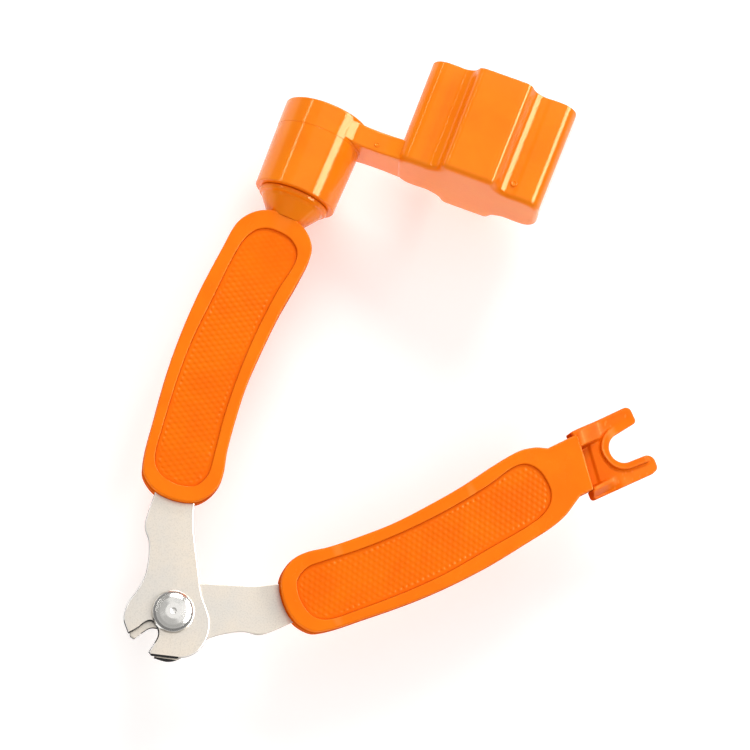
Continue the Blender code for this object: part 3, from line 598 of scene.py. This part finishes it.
def blade(name, lower, body, cad):
    jaw = [LOWER_JAW.get(i, p) if lower else p for i, p in enumerate(BLADE_JAW)]
    levels = [(BLADE_Z0, 0.18), (BLADE_Z0 + 0.06, 0.06), (BLADE_Z0 + 0.18, 0.0)]
    levels += edge_levels(BLADE_Z1, 0.38, seg=5)
    solid = plate(smooth_loop(jaw + BLADE_TANG, 0.6), levels, BLADE_HOLES)
    if lower:
        # the tip of the jaw, ground on the face next to the mid-plane
        out = outward((-11.35, -5.6), (-8.75, -9.45))
        grind(solid, out * 12.15 + Vector((0, 0, BLADE_Z0)), out, -0.65)
    else:
        # the flat end of the jaw, ground on the far face
        out = outward((-0.9, -12.6), (5.4, -10.9))
        grind(solid, Vector((-0.9, -12.6, BLADE_Z1)) - out * 0.5, out, 0.65)
    for face in solid.faces:
        centre = face.calc_center_median()
        face.normal_update()
        level = abs(face.normal.z)
        steep = level < 0.80
        if steep:
            face.material_index = SHEARED_INDEX
        # the rounded edge takes the painted highlight
        elif BLADE_Z0 + 0.19 < centre.z < BLADE_Z1 - 0.01:
            face.material_index = HIGHLIGHT_EDGE_INDEX
        # steep faces at the jaw's flat end and tip, and the notch's sides, take the near-black steel
        # as painted shade
        flat_end = centre.y < -10.5 and -2.2 < centre.x < 5.7
        tip = centre.x < -8.3 and -9.7 < centre.y < (-3.2 if lower else -6.9)
        notch = -8.6 < centre.x < -0.8 and -9.5 < centre.y < -3.0
        if steep and (flat_end or tip) or notch and level < 0.97:
            face.material_index = PAINTED_SHADE_INDEX
    finish_piece(bake(name, solid, TURN_OVER if lower else None), body, cad,
                 BLADE_MATERIALS)


blade("upper_blade", False, "winder_arm", "blade_upper")
blade("lower_blade", True, "puller_arm", "blade_lower")

# ---- rivet: profiles of (radius, z, corner radius) --------------------------------------------
DOME_Z = BLADE_Z1 + GAP
BACK_WASHER_Z1 = -BLADE_Z1 - GAP
BACK_WASHER_Z0 = BACK_WASHER_Z1 - 0.6
TAIL_Z = BACK_WASHER_Z0 - GAP


def dimple_wobble(radius, turn):
    """Slight unevenness round the dimple in the dome's top."""
    if radius <= 0.2:
        return 0.0
    return 0.012 * math.sin(5 * turn + 0.6) * math.exp(-((radius - 1.5) / 0.7) ** 2)


# the tail ends at the frame's own z = 0
rivet_profile = rounded([
    (0.0, DOME_Z + 2.20), (0.40, DOME_Z + 2.22, 0.2), (0.85, DOME_Z + 2.44, 0.3),
    (1.9, DOME_Z + 2.40, 3.0), (3.6, DOME_Z + 1.95, 2.0), (4.35, DOME_Z + 1.62, 0.4),
    (4.55, DOME_Z + 1.56, 0.4), (5.3, DOME_Z + 0.95, 0.8), (RIVET_R, DOME_Z + 0.1, 0.25),
    (RIVET_R - 0.15, DOME_Z, 0.05), (2.5, DOME_Z, 0.0), (2.5, TAIL_Z, 0.0), (4.0, TAIL_Z, 0.1),
    (3.85, TAIL_Z - 0.75, 0.3), (3.2, -MID_Z, 0.1), (0.0, -MID_Z)])
rivet = turned(rivet_profile, 96, along="Z", wobble=dimple_wobble)
finish_piece(bake("domed_rivet", rivet), "winder_arm", "pivot_rivet", [CHROME],
             angle=50)
back_washer = turned(rounded([
    (2.8, BACK_WASHER_Z1, 0.05), (4.9, BACK_WASHER_Z1, 0.15),
    (4.9, BACK_WASHER_Z0, 0.15), (2.8, BACK_WASHER_Z0, 0.05)], closed=True, seg=4), 72, along="Z")
finish_piece(bake("rivet_back_washer", back_washer), "winder_arm", "rivet_washer",
             [ZINC])

# ---- handle shells and knurled inlays ---------------------------------------------------------
RECESS_LOOP = smooth_loop(RECESS)
TANG_CUT = offset(smooth_loop(BLADE_JAW + BLADE_TANG, 3.0), -0.25)
RECESS_DEPTH = 1.3
RECESS_LIP = 0.34
POCKET_GROW = 0.2
# Tongues that sit in the handles: (half width, half width of the head, start y).
STEM_TONGUE = (3.2, 5.0, 94.0)
FORK_TONGUE = (4.0, 6.0, 99.0)
FORK_TONGUE_Y1 = NECK_Y1 + 2.0


def shell(loop, side):
    """Half of a handle, in front (side 1) or behind (-1), with the recess for its inlay."""
    levels = [(side * (BLADE_Z0 - 0.1), 0.34), (side * (BLADE_Z0 + 0.22), 0.03),
              (side * (BLADE_Z0 + 0.34), 0.0)]
    levels += edge_levels(GRIP_FACE, radius=0.55, inset=0.12, side=side)
    solid = bmesh.new()
    rings = [ring(solid, offset(loop, inset), z) for z, inset in levels]
    walls(solid, rings)
    cap(solid, rings[0])
    inner = []
    for k in range(5):
        turn = quarter(k, 4)
        inner.append(ring(solid, offset(RECESS_LOOP, -RECESS_LIP * (1 - math.sin(turn))),
                          side * (GRIP_FACE - RECESS_LIP * (1 - math.cos(turn)))))
    inner.append(ring(solid, offset(RECESS_LOOP, 0.02), side * (GRIP_FACE - RECESS_DEPTH)))
    walls(solid, inner)
    cap(solid, rings[-1], inner[0])
    cap(solid, inner[-1])
    return solid


def tongue(x, half, head_half, start, end, grow=0.0):
    """T-shaped outline with its head at the start, widened by grow."""
    shoulder = start + 3.6 + grow
    return [Vector(p) for p in (
        (x - half - grow, end), (x - half - grow, shoulder), (x - head_half - grow, shoulder),
        (x - head_half - grow, start - grow), (x + head_half + grow, start - grow),
        (x + head_half + grow, shoulder), (x + half + grow, shoulder), (x + half + grow, end))]


# The knurling's raised points stand in rows in three directions, about this place.
KNURL_X, KNURL_Y = -14.0, 68.0
POINT_GAP, POINT_SPLIT = 1.605, 7
ROW_GAP = POINT_GAP * math.sin(math.radians(60))
KNURL_DEPTH = 0.165


def knurl_grid():
    """Lattice that lines up with the rows of raised points."""
    across, along = math.sin(math.radians(60)), math.cos(math.radians(60))
    right = np.array((across, along)) * POINT_GAP / POINT_SPLIT
    left = np.array((-across, along)) * POINT_GAP / POINT_SPLIT
    reach = np.arange(-480, 481)
    i, j = np.meshgrid(reach, reach, indexing="ij")
    points = i[..., None] * right + j[..., None] * left + np.array((KNURL_X, KNURL_Y))
    points = points.reshape(-1, 2)
    x, y = points[:, 0], points[:, 1]
    return points[(x > -24) & (x < -3) & (y > 29) & (y < 107)]


KNURL_POINTS = knurl_grid()


def knurl_height(x, y, weights):
    """0 at the points' tops, down to -KNURL_DEPTH in the hollows; a weight for each direction."""
    total = 0.0
    for degrees, weight in zip((0, 60, 120), weights):
        turn = math.radians(degrees)
        along = (x - KNURL_X) * math.cos(turn) + (y - KNURL_Y) * math.sin(turn)
        total = total + weight * np.cos(2 * math.pi * along / ROW_GAP)
    return KNURL_DEPTH * ((np.maximum(total + 2.2, 0) / 5.2) ** 0.8 - 1)


def inlay(side, weights, soft):
    """Knurled plate; the points get lower by the fraction soft towards the pad's far end."""
    loop = offset(RECESS_LOOP, 0.05)
    face = GRIP_FACE - 0.60
    base = GRIP_FACE - RECESS_DEPTH + 0.05

    def top(x, y):
        away = edge_distance(np.stack([x, y], axis=1), loop)
        # a smooth margin, then a row of taller points along it
        fade = np.clip((away - 0.75) / 0.2, 0, 1)
        proud = 1 + 0.9 * np.exp(-((away - 1.1) / 0.35) ** 2)
        far = np.clip((y - 84.0) / 14.0, 0, 1)
        low = 1 - soft * far * far * (3 - 2 * far)
        points = knurl_height(x, y, weights) + 0.5 * KNURL_DEPTH
        return face - 0.12 + points * fade * proud * low

    solid = sculpted(loop, (KNURL_POINTS, top, 0.12),
                     (None, lambda x, y: np.full(len(x), base), 0.05), seg=3)
    if side < 0:
        for vert in solid.verts:
            vert.co.z = -vert.co.z
    return solid


def handle(arm, end, matrix, tags, pocket, pocket_half, seat, weights, soft):
    """Two shells and their inlays; tags name the +Z and the -Z side as drawn.

    seat is the (radius, y) profile of a cone cut out of the end, or None."""
    loop = smooth_loop(GRIP_OUTER + end + GRIP_INNER)
    body = f"{arm}_arm"
    for side, tag in zip((1, -1), tags):
        obj = bake(f"{arm}_handle_{tag}_shell", shell(loop, side), matrix)
        cuts = []
        if side > 0:
            cuts.append(plate(TANG_CUT, [(-0.6, 0), (BLADE_Z1 + 0.12, 0)]))
        cuts.append(plate(pocket, [(-pocket_half, 0), (pocket_half, 0)]))
        if seat:
            cuts.append(turned(seat, 96, STEM_X))
        carve(obj, [("DIFFERENCE", cut, matrix) for cut in cuts])
        finish_piece(obj, body, f"{arm}_grip_{tag}", [SHELL])
        pad = bake(f"{arm}_handle_{tag}_knurled_inlay", inlay(side, weights, soft), matrix)
        finish_piece(pad, body, f"{arm}_pad_{tag}", [KNURL], angle=60,
                     merge=0.000005)


handle("winder", GRIP_ROUND_END, None, ("front", "back"),
       pocket=tongue(STEM_X, *STEM_TONGUE, 110.6, POCKET_GROW), pocket_half=2.8,
       seat=[(0.0, 109.5), (5.3, 109.5), (8.72, 114.3), (0.0, 114.3)],
       weights=(0.45, 1.05, 1.5), soft=0.55)
handle("puller", GRIP_NECK_END, TURN_OVER, ("back", "front"),
       pocket=tongue(FORK_X, *FORK_TONGUE, FORK_TONGUE_Y1, POCKET_GROW), pocket_half=2.5,
       seat=None, weights=(0.45, 1.45, 1.1), soft=0.0)

# ---- swivel stem: (radius, y, corner radius) --------------------------------------------------
stem_profile = rounded([
    (0.0, 109.6), (5.2, 109.6, 0.3), (8.45, 113.9, 0.5), (8.75, 114.75, 0.25),
    (COLLAR_R - 0.2, 115.0, 0.2), (COLLAR_R, 115.4, 0.3), (COLLAR_R, 116.25, 0.3),
    (COLLAR_R - 0.5, 116.3, 0.1), (8.2, 116.3, 0.1), (8.2, 132.6, 0.5), (1.6, 132.6, 0.0),
    (1.6, 120.5, 0.0), (0.0, 119.8)])
stem = bake("swivel_stem_cone_and_spigot", turned(stem_profile, 128, STEM_X))
stem_tongue = plate(tongue(STEM_X, *STEM_TONGUE, 110.4), [(-2.6, 0.0), (2.6, 0.0)])
carve(stem, [("UNION", stem_tongue, None)])
finish_piece(stem, "winder_arm", "swivel_stem", [STEM])

# ---- winder head: hub, arm and cup ------------------------------------------------------------
HUB_Y1, HUB_R0, HUB_R1, HUB_BORE_R = HUB_Y0 + 25.0, 11.4, 12.2, 8.5
HUB_WEB_Y0, HUB_WEB_Y1, HUB_TOP_R = HUB_Y0 + 16.2, HUB_Y0 + 18.7, 6.6
SEAM_Y = HUB_Y0 + 17.5
SEAM_R = HUB_R0 + (HUB_R1 - HUB_R0) * 0.7
ARM_Y0, ARM_Y1, ARM_HALF, ARM_ROUND = HUB_Y0 + 18.2, HUB_Y0 + 24.1, 6.9, 0.55
CUP_X0, CUP_X1, CUP_Y0 = STEM_X + 22.2, STEM_X + 64.0, CUP_Y1 - 30.6
CUP_HALF_END, CUP_WALL, CUP_FLOOR, CUP_DRAFT = 9.8, 1.9, 2.2, 0.35
CUP_CORNER, CUP_FOOT_ROUND, CUP_LIP, CUP_FLOOR_ROUND = 4.8, 1.7, 0.45, 1.2
# Half width of the arm: (x from the stem, z beyond ARM_HALF, corner).
ARM_SIDE = [
    (6.6, 2.9, 1), (7.9, 2.3, 0), (9.0, 1.55, 0), (10.2, 0.85, 0), (11.8, 0.35, 0),
    (13.8, 0.02, 0), (17.0, -0.1, 0), (20.0, 0.05, 0), (CUP_X0 - STEM_X + 1.6, 0.5, 1),
]
# The cup's side from its corner to its wider middle: (x from CUP_X0, z beyond CUP_HALF_END).
CUP_SIDE = [
    (7.2, 0.02), (8.3, -0.16), (9.2, -0.18), (9.9, -0.02), (10.5, 0.27), (11.1, 0.61),
    (11.7, 1.02), (12.3, 1.76), (12.8, 2.86), (13.25, 3.90), (13.6, 4.39), (14.05, 4.68),
    (14.5, 4.94), (15.1, 5.07), (16.0, 5.1),
]


def mirrored_loop(half):
    """Smooth loop of a half outline and its mirror image across the first axis."""
    return smooth_loop(half + [(x, -z, corner) for x, z, corner in reversed(half)], 0.45)


def cup_loop():
    half = []
    for k in range(7):
        turn = math.radians(180 - 15 * k)
        half.append((CUP_X0 + CUP_CORNER + CUP_CORNER * math.cos(turn),
                     CUP_HALF_END - CUP_CORNER + CUP_CORNER * math.sin(turn), 0))
    half += [(CUP_X0 + x, CUP_HALF_END + z, 0) for x, z in CUP_SIDE]
    middle = 0.5 * (CUP_X0 + CUP_X1)
    return mirrored_loop(half + [(2 * middle - x, z, corner) for x, z, corner in reversed(half)])


def cup():
    """Cup open towards +Y: up the outside, over the lip and down to the floor."""
    levels = foot_levels(CUP_Y0, CUP_FOOT_ROUND, CUP_DRAFT, seg=8)
    for k in range(1, 5):
        rise = k / 5
        straight = CUP_Y1 - CUP_Y0 - CUP_FOOT_ROUND - CUP_LIP
        levels.append((CUP_Y0 + CUP_FOOT_ROUND + straight * rise, CUP_DRAFT * (1 - rise)))
    for k in range(7):
        turn = math.pi * k / 6
        levels.append((CUP_Y1 - CUP_LIP + CUP_LIP * math.sin(turn),
                       0.5 * CUP_WALL - (0.5 * CUP_WALL) * math.cos(turn)))
    floor_y = CUP_Y0 + CUP_FLOOR
    levels.append((floor_y + CUP_FLOOR_ROUND + 8, CUP_WALL + CUP_DRAFT * 0.7))
    for k in range(6):
        turn = quarter(k, 5)
        levels.append((floor_y + CUP_FLOOR_ROUND * (1 - math.sin(turn)),
                       CUP_WALL + CUP_DRAFT + CUP_FLOOR_ROUND * (1 - math.cos(turn))))
    return plate(cup_loop(), levels, upright=True)


def nub(profile, count, place):
    """Small round mark standing along Z, to be joined to the head."""
    solid = turned(rounded(profile, seg=3), count, along="Z")
    return "UNION", solid, CRANK_TURN @ Matrix.Translation(place)


hub_profile = rounded([
    (HUB_BORE_R, HUB_Y0 - 0.22, 0.3), (HUB_R0 - 0.02, HUB_Y0 - 0.22, 0.4),
    (SEAM_R - 0.03, SEAM_Y - 0.12, 0.0), (SEAM_R - 0.10, SEAM_Y, 0.0),
    (SEAM_R + 0.02, SEAM_Y + 0.12, 0.0), (HUB_R1 - 0.05, HUB_Y1, 0.6),
    (HUB_TOP_R, HUB_Y1, 0.5), (HUB_TOP_R - 0.15, HUB_WEB_Y1, 0.4), (1.9, HUB_WEB_Y1, 0.1),
    (1.9, HUB_WEB_Y0, 0.0), (HUB_BORE_R, HUB_WEB_Y0, 0.3)], closed=True, seg=7)
head = bake("spinning_head", turned(hub_profile, 160, STEM_X), CRANK_TURN)
arm_loop = mirrored_loop([(STEM_X + x, ARM_HALF + z, corner) for x, z, corner in ARM_SIDE])
arm_levels = (foot_levels(ARM_Y0, ARM_ROUND, inset=0.0, seg=5)
              + edge_levels(ARM_Y1, ARM_ROUND, seg=5))
cup_nub = nub([(0.0, 0.16), (0.35, 0.16, 0.1), (0.55, 0.32, 0.1), (0.85, 0.32, 0.1),
               (1.0, -0.5), (0.0, -0.5)], 32,
              (STEM_X + 55.0, CUP_Y0 + 4.2, CUP_HALF_END - CUP_DRAFT * 0.85))
arm_nub = nub([(0.0, 0.10), (0.3, 0.10, 0.05), (0.45, 0.22, 0.05), (0.7, 0.22, 0.05),
               (0.8, -0.5), (0.0, -0.5)], 24,
              (STEM_X + 16.4, ARM_Y0 + 2.0, ARM_HALF - 0.1))
carve(head, [("UNION", plate(arm_loop, arm_levels, upright=True), CRANK_TURN),
             ("UNION", cup(), CRANK_TURN), cup_nub, arm_nub])
finish_piece(head, "winder_head", "winder_head", [HEAD], angle=34)

# ---- retaining washer and screw: (radius, y, corner radius) -----------------------------------
WASHER_Y0 = HUB_WEB_Y1 + GAP
WASHER_Y1 = WASHER_Y0 + 0.8
SCREW_SEAT_Y = WASHER_Y1 + GAP
SCREW_R, THREAD_ROOT_R, THREAD_Y0, THREAD_TURNS = 1.3, 1.02, 122.4, 26

washer = turned(rounded([(1.6, WASHER_Y0, 0.05), (5.0, WASHER_Y0, 0.1), (5.0, WASHER_Y1, 0.15),
                         (1.6, WASHER_Y1, 0.1)], closed=True, seg=4), 72, STEM_X)
finish_piece(bake("retaining_washer_ring", washer), "winder_arm", "retaining_washer",
             [ZINC])
screw_profile = [(0.0, 121.0), (SCREW_R, 122.0)]
for k in range(THREAD_TURNS):
    y = THREAD_Y0 + (SCREW_SEAT_Y - 1.6 - THREAD_Y0) * k / THREAD_TURNS
    screw_profile += [(SCREW_R, y), (THREAD_ROOT_R, y + 0.2)]
screw_profile.append((SCREW_R, SCREW_SEAT_Y - 1.0))
screw_profile += rounded([
    (SCREW_R, SCREW_SEAT_Y), (3.3, SCREW_SEAT_Y, 0.08), (3.3, SCREW_SEAT_Y + 0.8, 0.25),
    (2.7, SCREW_SEAT_Y + 1.75, 0.8), (1.2, SCREW_SEAT_Y + 2.1, 0.8),
    (0.0, SCREW_SEAT_Y + 2.1)], seg=5)
screw = bake("retaining_cross_head_screw", turned(screw_profile, 64, STEM_X))
cross = []
for x, z in ((1.9, 0.38), (0.38, 1.9)):
    slot = [Vector((STEM_X - x, -z)), Vector((STEM_X + x, -z)), Vector((STEM_X + x, z)),
            Vector((STEM_X - x, z))]
    slot_levels = [(SCREW_SEAT_Y + 0.8, 0.12), (SCREW_SEAT_Y + 3.0, -0.05)]
    cross.append(("DIFFERENCE", plate(slot, slot_levels, upright=True), None))
carve(screw, cross)
finish_piece(screw, "winder_arm", "retaining_screw", [ZINC])

# ---- bridge-pin fork --------------------------------------------------------------------------
# Drawn about its own centre line with its sculpted front up: +x is the neck's outer side, -x its
# inner side, +y runs to the tips of the prongs.
FORK_Y0, FORK_INNER_Y0, FORK_Y1, NOTCH_Y, NOTCH_R, NOTCH_MOUTH = 115.3, 117.2, 136.4, 129.3, 4.1, 4.6
FORK_OUTER, FORK_INNER, FORK_TIP = 9.2, 10.0, 9.8
FORK_PLACE = (TURN_OVER @ Matrix.Translation((FORK_X, 0, 0))
              @ Matrix.Rotation(math.pi, 4, "Y"))


def step(value, low, high):
    """Smooth rise from 0 at low to 1 at high."""
    share = np.clip((value - low) / (high - low), 0, 1)
    return share * share * (3 - 2 * share)


def ridge(value, centre, width):
    return np.exp(-((value - centre) / width) ** 2)


def densify(points, most):
    out = []
    for i, point in enumerate(points):
        start, end = Vector(point), Vector(points[(i + 1) % len(points)])
        pieces = max(1, math.ceil((end - start).length / most))
        out += [start + (end - start) * (j / pieces) for j in range(pieces)]
    return out


def neck_end(x):
    return NECK_Y1 - NECK_SKEW * x


def fork_outline():
    inner, outer = NECK_INNER - 0.5, NECK_OUTER + 0.05
    points = [
        (-4.95, neck_end(-4.95) + 0.05, 0.0), (-4.95, neck_end(-4.95) - 0.6, 0.0),
        (-inner, neck_end(-inner) - 0.6, 0.0), (-inner, FORK_INNER_Y0 + 0.15, 0.1),
        (-FORK_INNER, FORK_INNER_Y0, 0.4), (-FORK_TIP, FORK_Y1, 1.6),
        (-NOTCH_MOUTH - 0.15, FORK_Y1 - 0.2, 1.1)]
    for k in range(31):
        turn = math.radians(180 + 6 * k)
        points.append((NOTCH_R * math.cos(turn), NOTCH_Y + NOTCH_R * math.sin(turn), 0.0))
    points += [
        (NOTCH_MOUTH, FORK_Y1 - 0.3, 2.3), (FORK_TIP - 0.6, FORK_Y1 - 0.6, 1.4),
        (FORK_TIP, FORK_Y1 - 2.6, 0.7), (FORK_OUTER, FORK_Y0, 0.9),
        (outer, FORK_Y0 + 0.2, 0.12), (outer, neck_end(outer) + 0.05, 0.0)]
    return densify(rounded(points, closed=True, seg=7), 0.5)


def fork_top(x, y):
    """Height of the fork's front."""
    # the web thins towards the tips, with a hollow behind the neck and a flank on either side
    web = 1.25 - 0.6 * ((y - FORK_Y0) / (FORK_Y1 - FORK_Y0))
    past_neck = y - neck_end(x)
    inner, outer = step(-x, 4.5, 5.5), step(x, 5.3, 6.2)
    flank = np.maximum(4.85 - web, 0) * (1 - step(past_neck, -0.4, 8.6))
    hollow = -0.55 * (1 - step(past_neck, 2.5, 3.5))
    z = web + hollow + (flank - hollow) * inner + (flank * 0.9 - hollow) * outer * (1 - inner)
    # both flanks fall off at their sides
    z = z - 2.9 * np.clip((x - 6.9) / 1.7, 0, 1) ** 1.2 * (1 - step(y, 118.0, 124.5))
    z = z - 0.25 * np.clip((-x - 9.2) / 0.7, 0, 1)
    # U-shaped lip round the notch, with a crest on its edge and a groove along its foot
    notch = np.where(y > NOTCH_Y, np.abs(x) - NOTCH_R - 0.09 * (y - NOTCH_Y) * (x > 0),
                     np.hypot(x, y - NOTCH_Y) - NOTCH_R)
    reach = np.where(x > 0, 1 - step(y, 133.2, 134.8), 1 - step(y, NOTCH_Y - 3.2, NOTCH_Y + 1.0))
    wide = 1.85 + 0.45 * step(-x, -1.0, 3.0)
    z = z + 0.75 * (1 - step(notch, wide - 0.12, wide + 0.18)) * reach
    z = z + 0.16 * ridge(notch, wide - 0.30, 0.20) * reach
    z = z - 0.12 * ridge(notch, wide + 0.35, 0.22) * reach
    # the outer prong slopes away from the notch; the inner one has a shallow dish
    z = z - 0.40 * step(notch, 2.2, 5.0) * (x > 0) * step(y, 124.0, 128.0)
    dish = ridge(x, -7.0, 1.3) * step(y, 126.0, 129.0) * (1 - step(y, 133.5, 135.5))
    return z - 0.16 * dish


def fork_bottom(x, y):
    return -2.6 + 0.6 * (y - FORK_Y0) / (FORK_Y1 - FORK_Y0)


def lattice(x_span, y_span, shift):
    """Points over (start, stop, step) spans, shifted a little along x off the outline."""
    x, y = np.meshgrid(np.arange(*x_span), np.arange(*y_span), indexing="ij")
    return np.stack([x.ravel() + shift, y.ravel()], axis=1)


fine_points = lattice((-10.2, 10.2, 0.2), (115.2, 136.6, 0.2), 0.013)
coarse_points = lattice((-9.5, 9.6, 1.0), (115.9, 136.1, 1.0), 0.017)
fork_solid = sculpted(fork_outline(), (fine_points, fork_top, 0.32),
                      (coarse_points, fork_bottom, 0.45), seg=4)
fork = bake("bridge_pin_puller_fork", fork_solid, FORK_PLACE)
fork_tongue = plate(tongue(0.0, *FORK_TONGUE, FORK_TONGUE_Y1), [(-2.3, 0.0), (-1.5, 0.0)])
carve(fork, [("UNION", fork_tongue, FORK_PLACE)])
finish_piece(fork, "puller_arm", "bridge_pin_fork", [FORK], angle=55,
             merge=0.000005)


# ---- floor ------------------------------------------------------------------------------------
def build_floor():
    """Pale floor just under the lowest place the cup reaches as the crank goes round."""
    mesh = bpy.data.meshes.new("floor")
    grid = bmesh.new()
    bmesh.ops.create_grid(grid, x_segments=8, y_segments=8, size=3.0)
    bmesh.ops.translate(grid, vec=(0, 0.07, (MID_Z - 22.4) * MILLI), verts=grid.verts)
    grid.to_mesh(mesh)
    grid.free()
    floor = add_object("floor", mesh)
    material, _, bsdf = shader("pale_floor")
    put(bsdf, Base_Color=(0.88, 0.875, 0.87, 1), Roughness=0.9, Specular_IOR_Level=0.1,
        Emission_Color=(1, 0.99, 0.985, 1), Emission_Strength=0.31)
    mesh.materials.append(material)


build_floor()


# ---- world ------------------------------------------------------------------------------------
def mix_shader(tree, factor, first, second):
    made = node(tree, "MixShader", Fac=factor)
    tree.links.new(first, made.inputs[1])
    tree.links.new(second, made.inputs[2])
    return made.outputs["Shader"]


def build_world():
    """Soft even light, a graded sky for reflections and near-white for the camera."""
    world = bpy.data.worlds.new("studio")
    bpy.context.scene.world = world
    world.use_nodes = True
    tree = world.node_tree
    tree.nodes.clear()
    output = node(tree, "OutputWorld")
    soft = node(tree, "Background", Color=(1, 0.995, 0.985, 1), Strength=0.42)
    shiny = node(tree, "Background", Strength=1.0)
    coords = node(tree, "TexCoord")
    split = node(tree, "SeparateXYZ", Vector=coords.outputs["Generated"])
    sky = ramp(tree, split.outputs["Z"], [
        (0.0, (0.45, 0.44, 0.44)), (0.25, (0.20, 0.20, 0.20)), (0.55, (0.30, 0.295, 0.29)),
        (0.80, (0.50, 0.495, 0.485)), (1.0, (0.60, 0.59, 0.58))])
    put(shiny, Color=sky)
    path = node(tree, "LightPath").outputs
    blend = mix_shader(tree, path["Is Glossy Ray"], soft.outputs["Background"],
                       shiny.outputs["Background"])
    seen = node(tree, "Background", Color=(1, 0.998, 0.994, 1), Strength=0.86)
    direct = mix_shader(tree, path["Is Camera Ray"], blend, seen.outputs["Background"])
    put(output, Surface=direct)


build_world()

# ---- lights, in metres ------------------------------------------------------------------------
AIM = Vector((0.012, 0.09, 0.004))


def pose(right, up, back, place):
    """World matrix from three axes and a place."""
    rows = [(right[i], up[i], back[i], place[i]) for i in range(3)]
    return Matrix((*rows, (0, 0, 0, 1)))


def area_light(name, direction, distance, width, length, radiance, colour=(1, 1, 1),
               glossy=True, diffuse=True):
    """Rectangle of even radiance facing the aim point, its length along the hub's axis."""
    data = bpy.data.lights.new(name, "AREA")
    data.shape = "RECTANGLE"
    data.size, data.size_y = width, length
    data.energy = radiance * math.pi * width * length
    data.color = colour
    light = bpy.data.objects.new(name, data)
    back = Vector(direction).normalized()
    up = (Vector((0, 1, 0)) - back * back.y).normalized()
    light.matrix_world = pose(up.cross(back), up, back, AIM + back * distance)
    bpy.context.collection.objects.link(light)
    light.visible_glossy = glossy
    light.visible_diffuse = diffuse


area_light("softbox_over", direction=(0.05, 0.1, 1.0), distance=0.9, width=0.9, length=0.9,
           radiance=0.40)
area_light("key_right", direction=(0.67, 0.42, 0.57), distance=1.5, width=0.153, length=1.53,
           radiance=8.9, colour=(1, 0.985, 0.96), glossy=False)
area_light("shine_right", direction=(0.70, 0.36, 0.60), distance=0.98, width=0.34, length=1.3,
           radiance=17.0, colour=(1, 0.985, 0.95), diffuse=False)
area_light("shine_left", direction=(-0.80, 0.10, 0.55), distance=0.9, width=0.05, length=0.9,
           radiance=10.0, colour=(1, 0.985, 0.96), diffuse=False)
area_light("softbox_back", direction=(-0.12, 0.80, 0.62), distance=1.0, width=0.5, length=0.32,
           radiance=11.0)
area_light("front_fill", direction=(-0.2, -0.85, 0.5), distance=1.0, width=0.7, length=0.4,
           radiance=2.7, glossy=False)

# ---- camera -----------------------------------------------------------------------------------
# Looks down at the target; the tilt is from straight above, towards the azimuth.
TARGET = Vector((26.42, 79.49, MID_Z))
CAMERA_DISTANCE = 589.22
AZIMUTH, TILT, ROLL = math.radians(-105.31), math.radians(13.94), math.radians(-1.33)
PICTURE_UP = Vector((-0.3827, 0.9239, 0.0))


def build_camera():
    data = bpy.data.cameras.new("camera")
    data.sensor_width = 36.0
    data.lens = 104.746
    data.clip_start, data.clip_end = 0.01, 20.0
    camera = add_object("camera", data)
    back = Vector((math.sin(TILT) * math.cos(AZIMUTH), math.sin(TILT) * math.sin(AZIMUTH),
                   math.cos(TILT)))
    right = PICTURE_UP.cross(back).normalized()
    up = back.cross(right).normalized()
    place = TARGET + back * CAMERA_DISTANCE
    camera.matrix_world = pose(right * math.cos(ROLL) + up * math.sin(ROLL),
                               -right * math.sin(ROLL) + up * math.cos(ROLL),
                               back, [v * MILLI for v in place])
    bpy.context.scene.camera = camera


build_camera()
bpy.context.scene.view_settings.view_transform = "Standard"
bpy.context.scene.view_settings.look = "None"
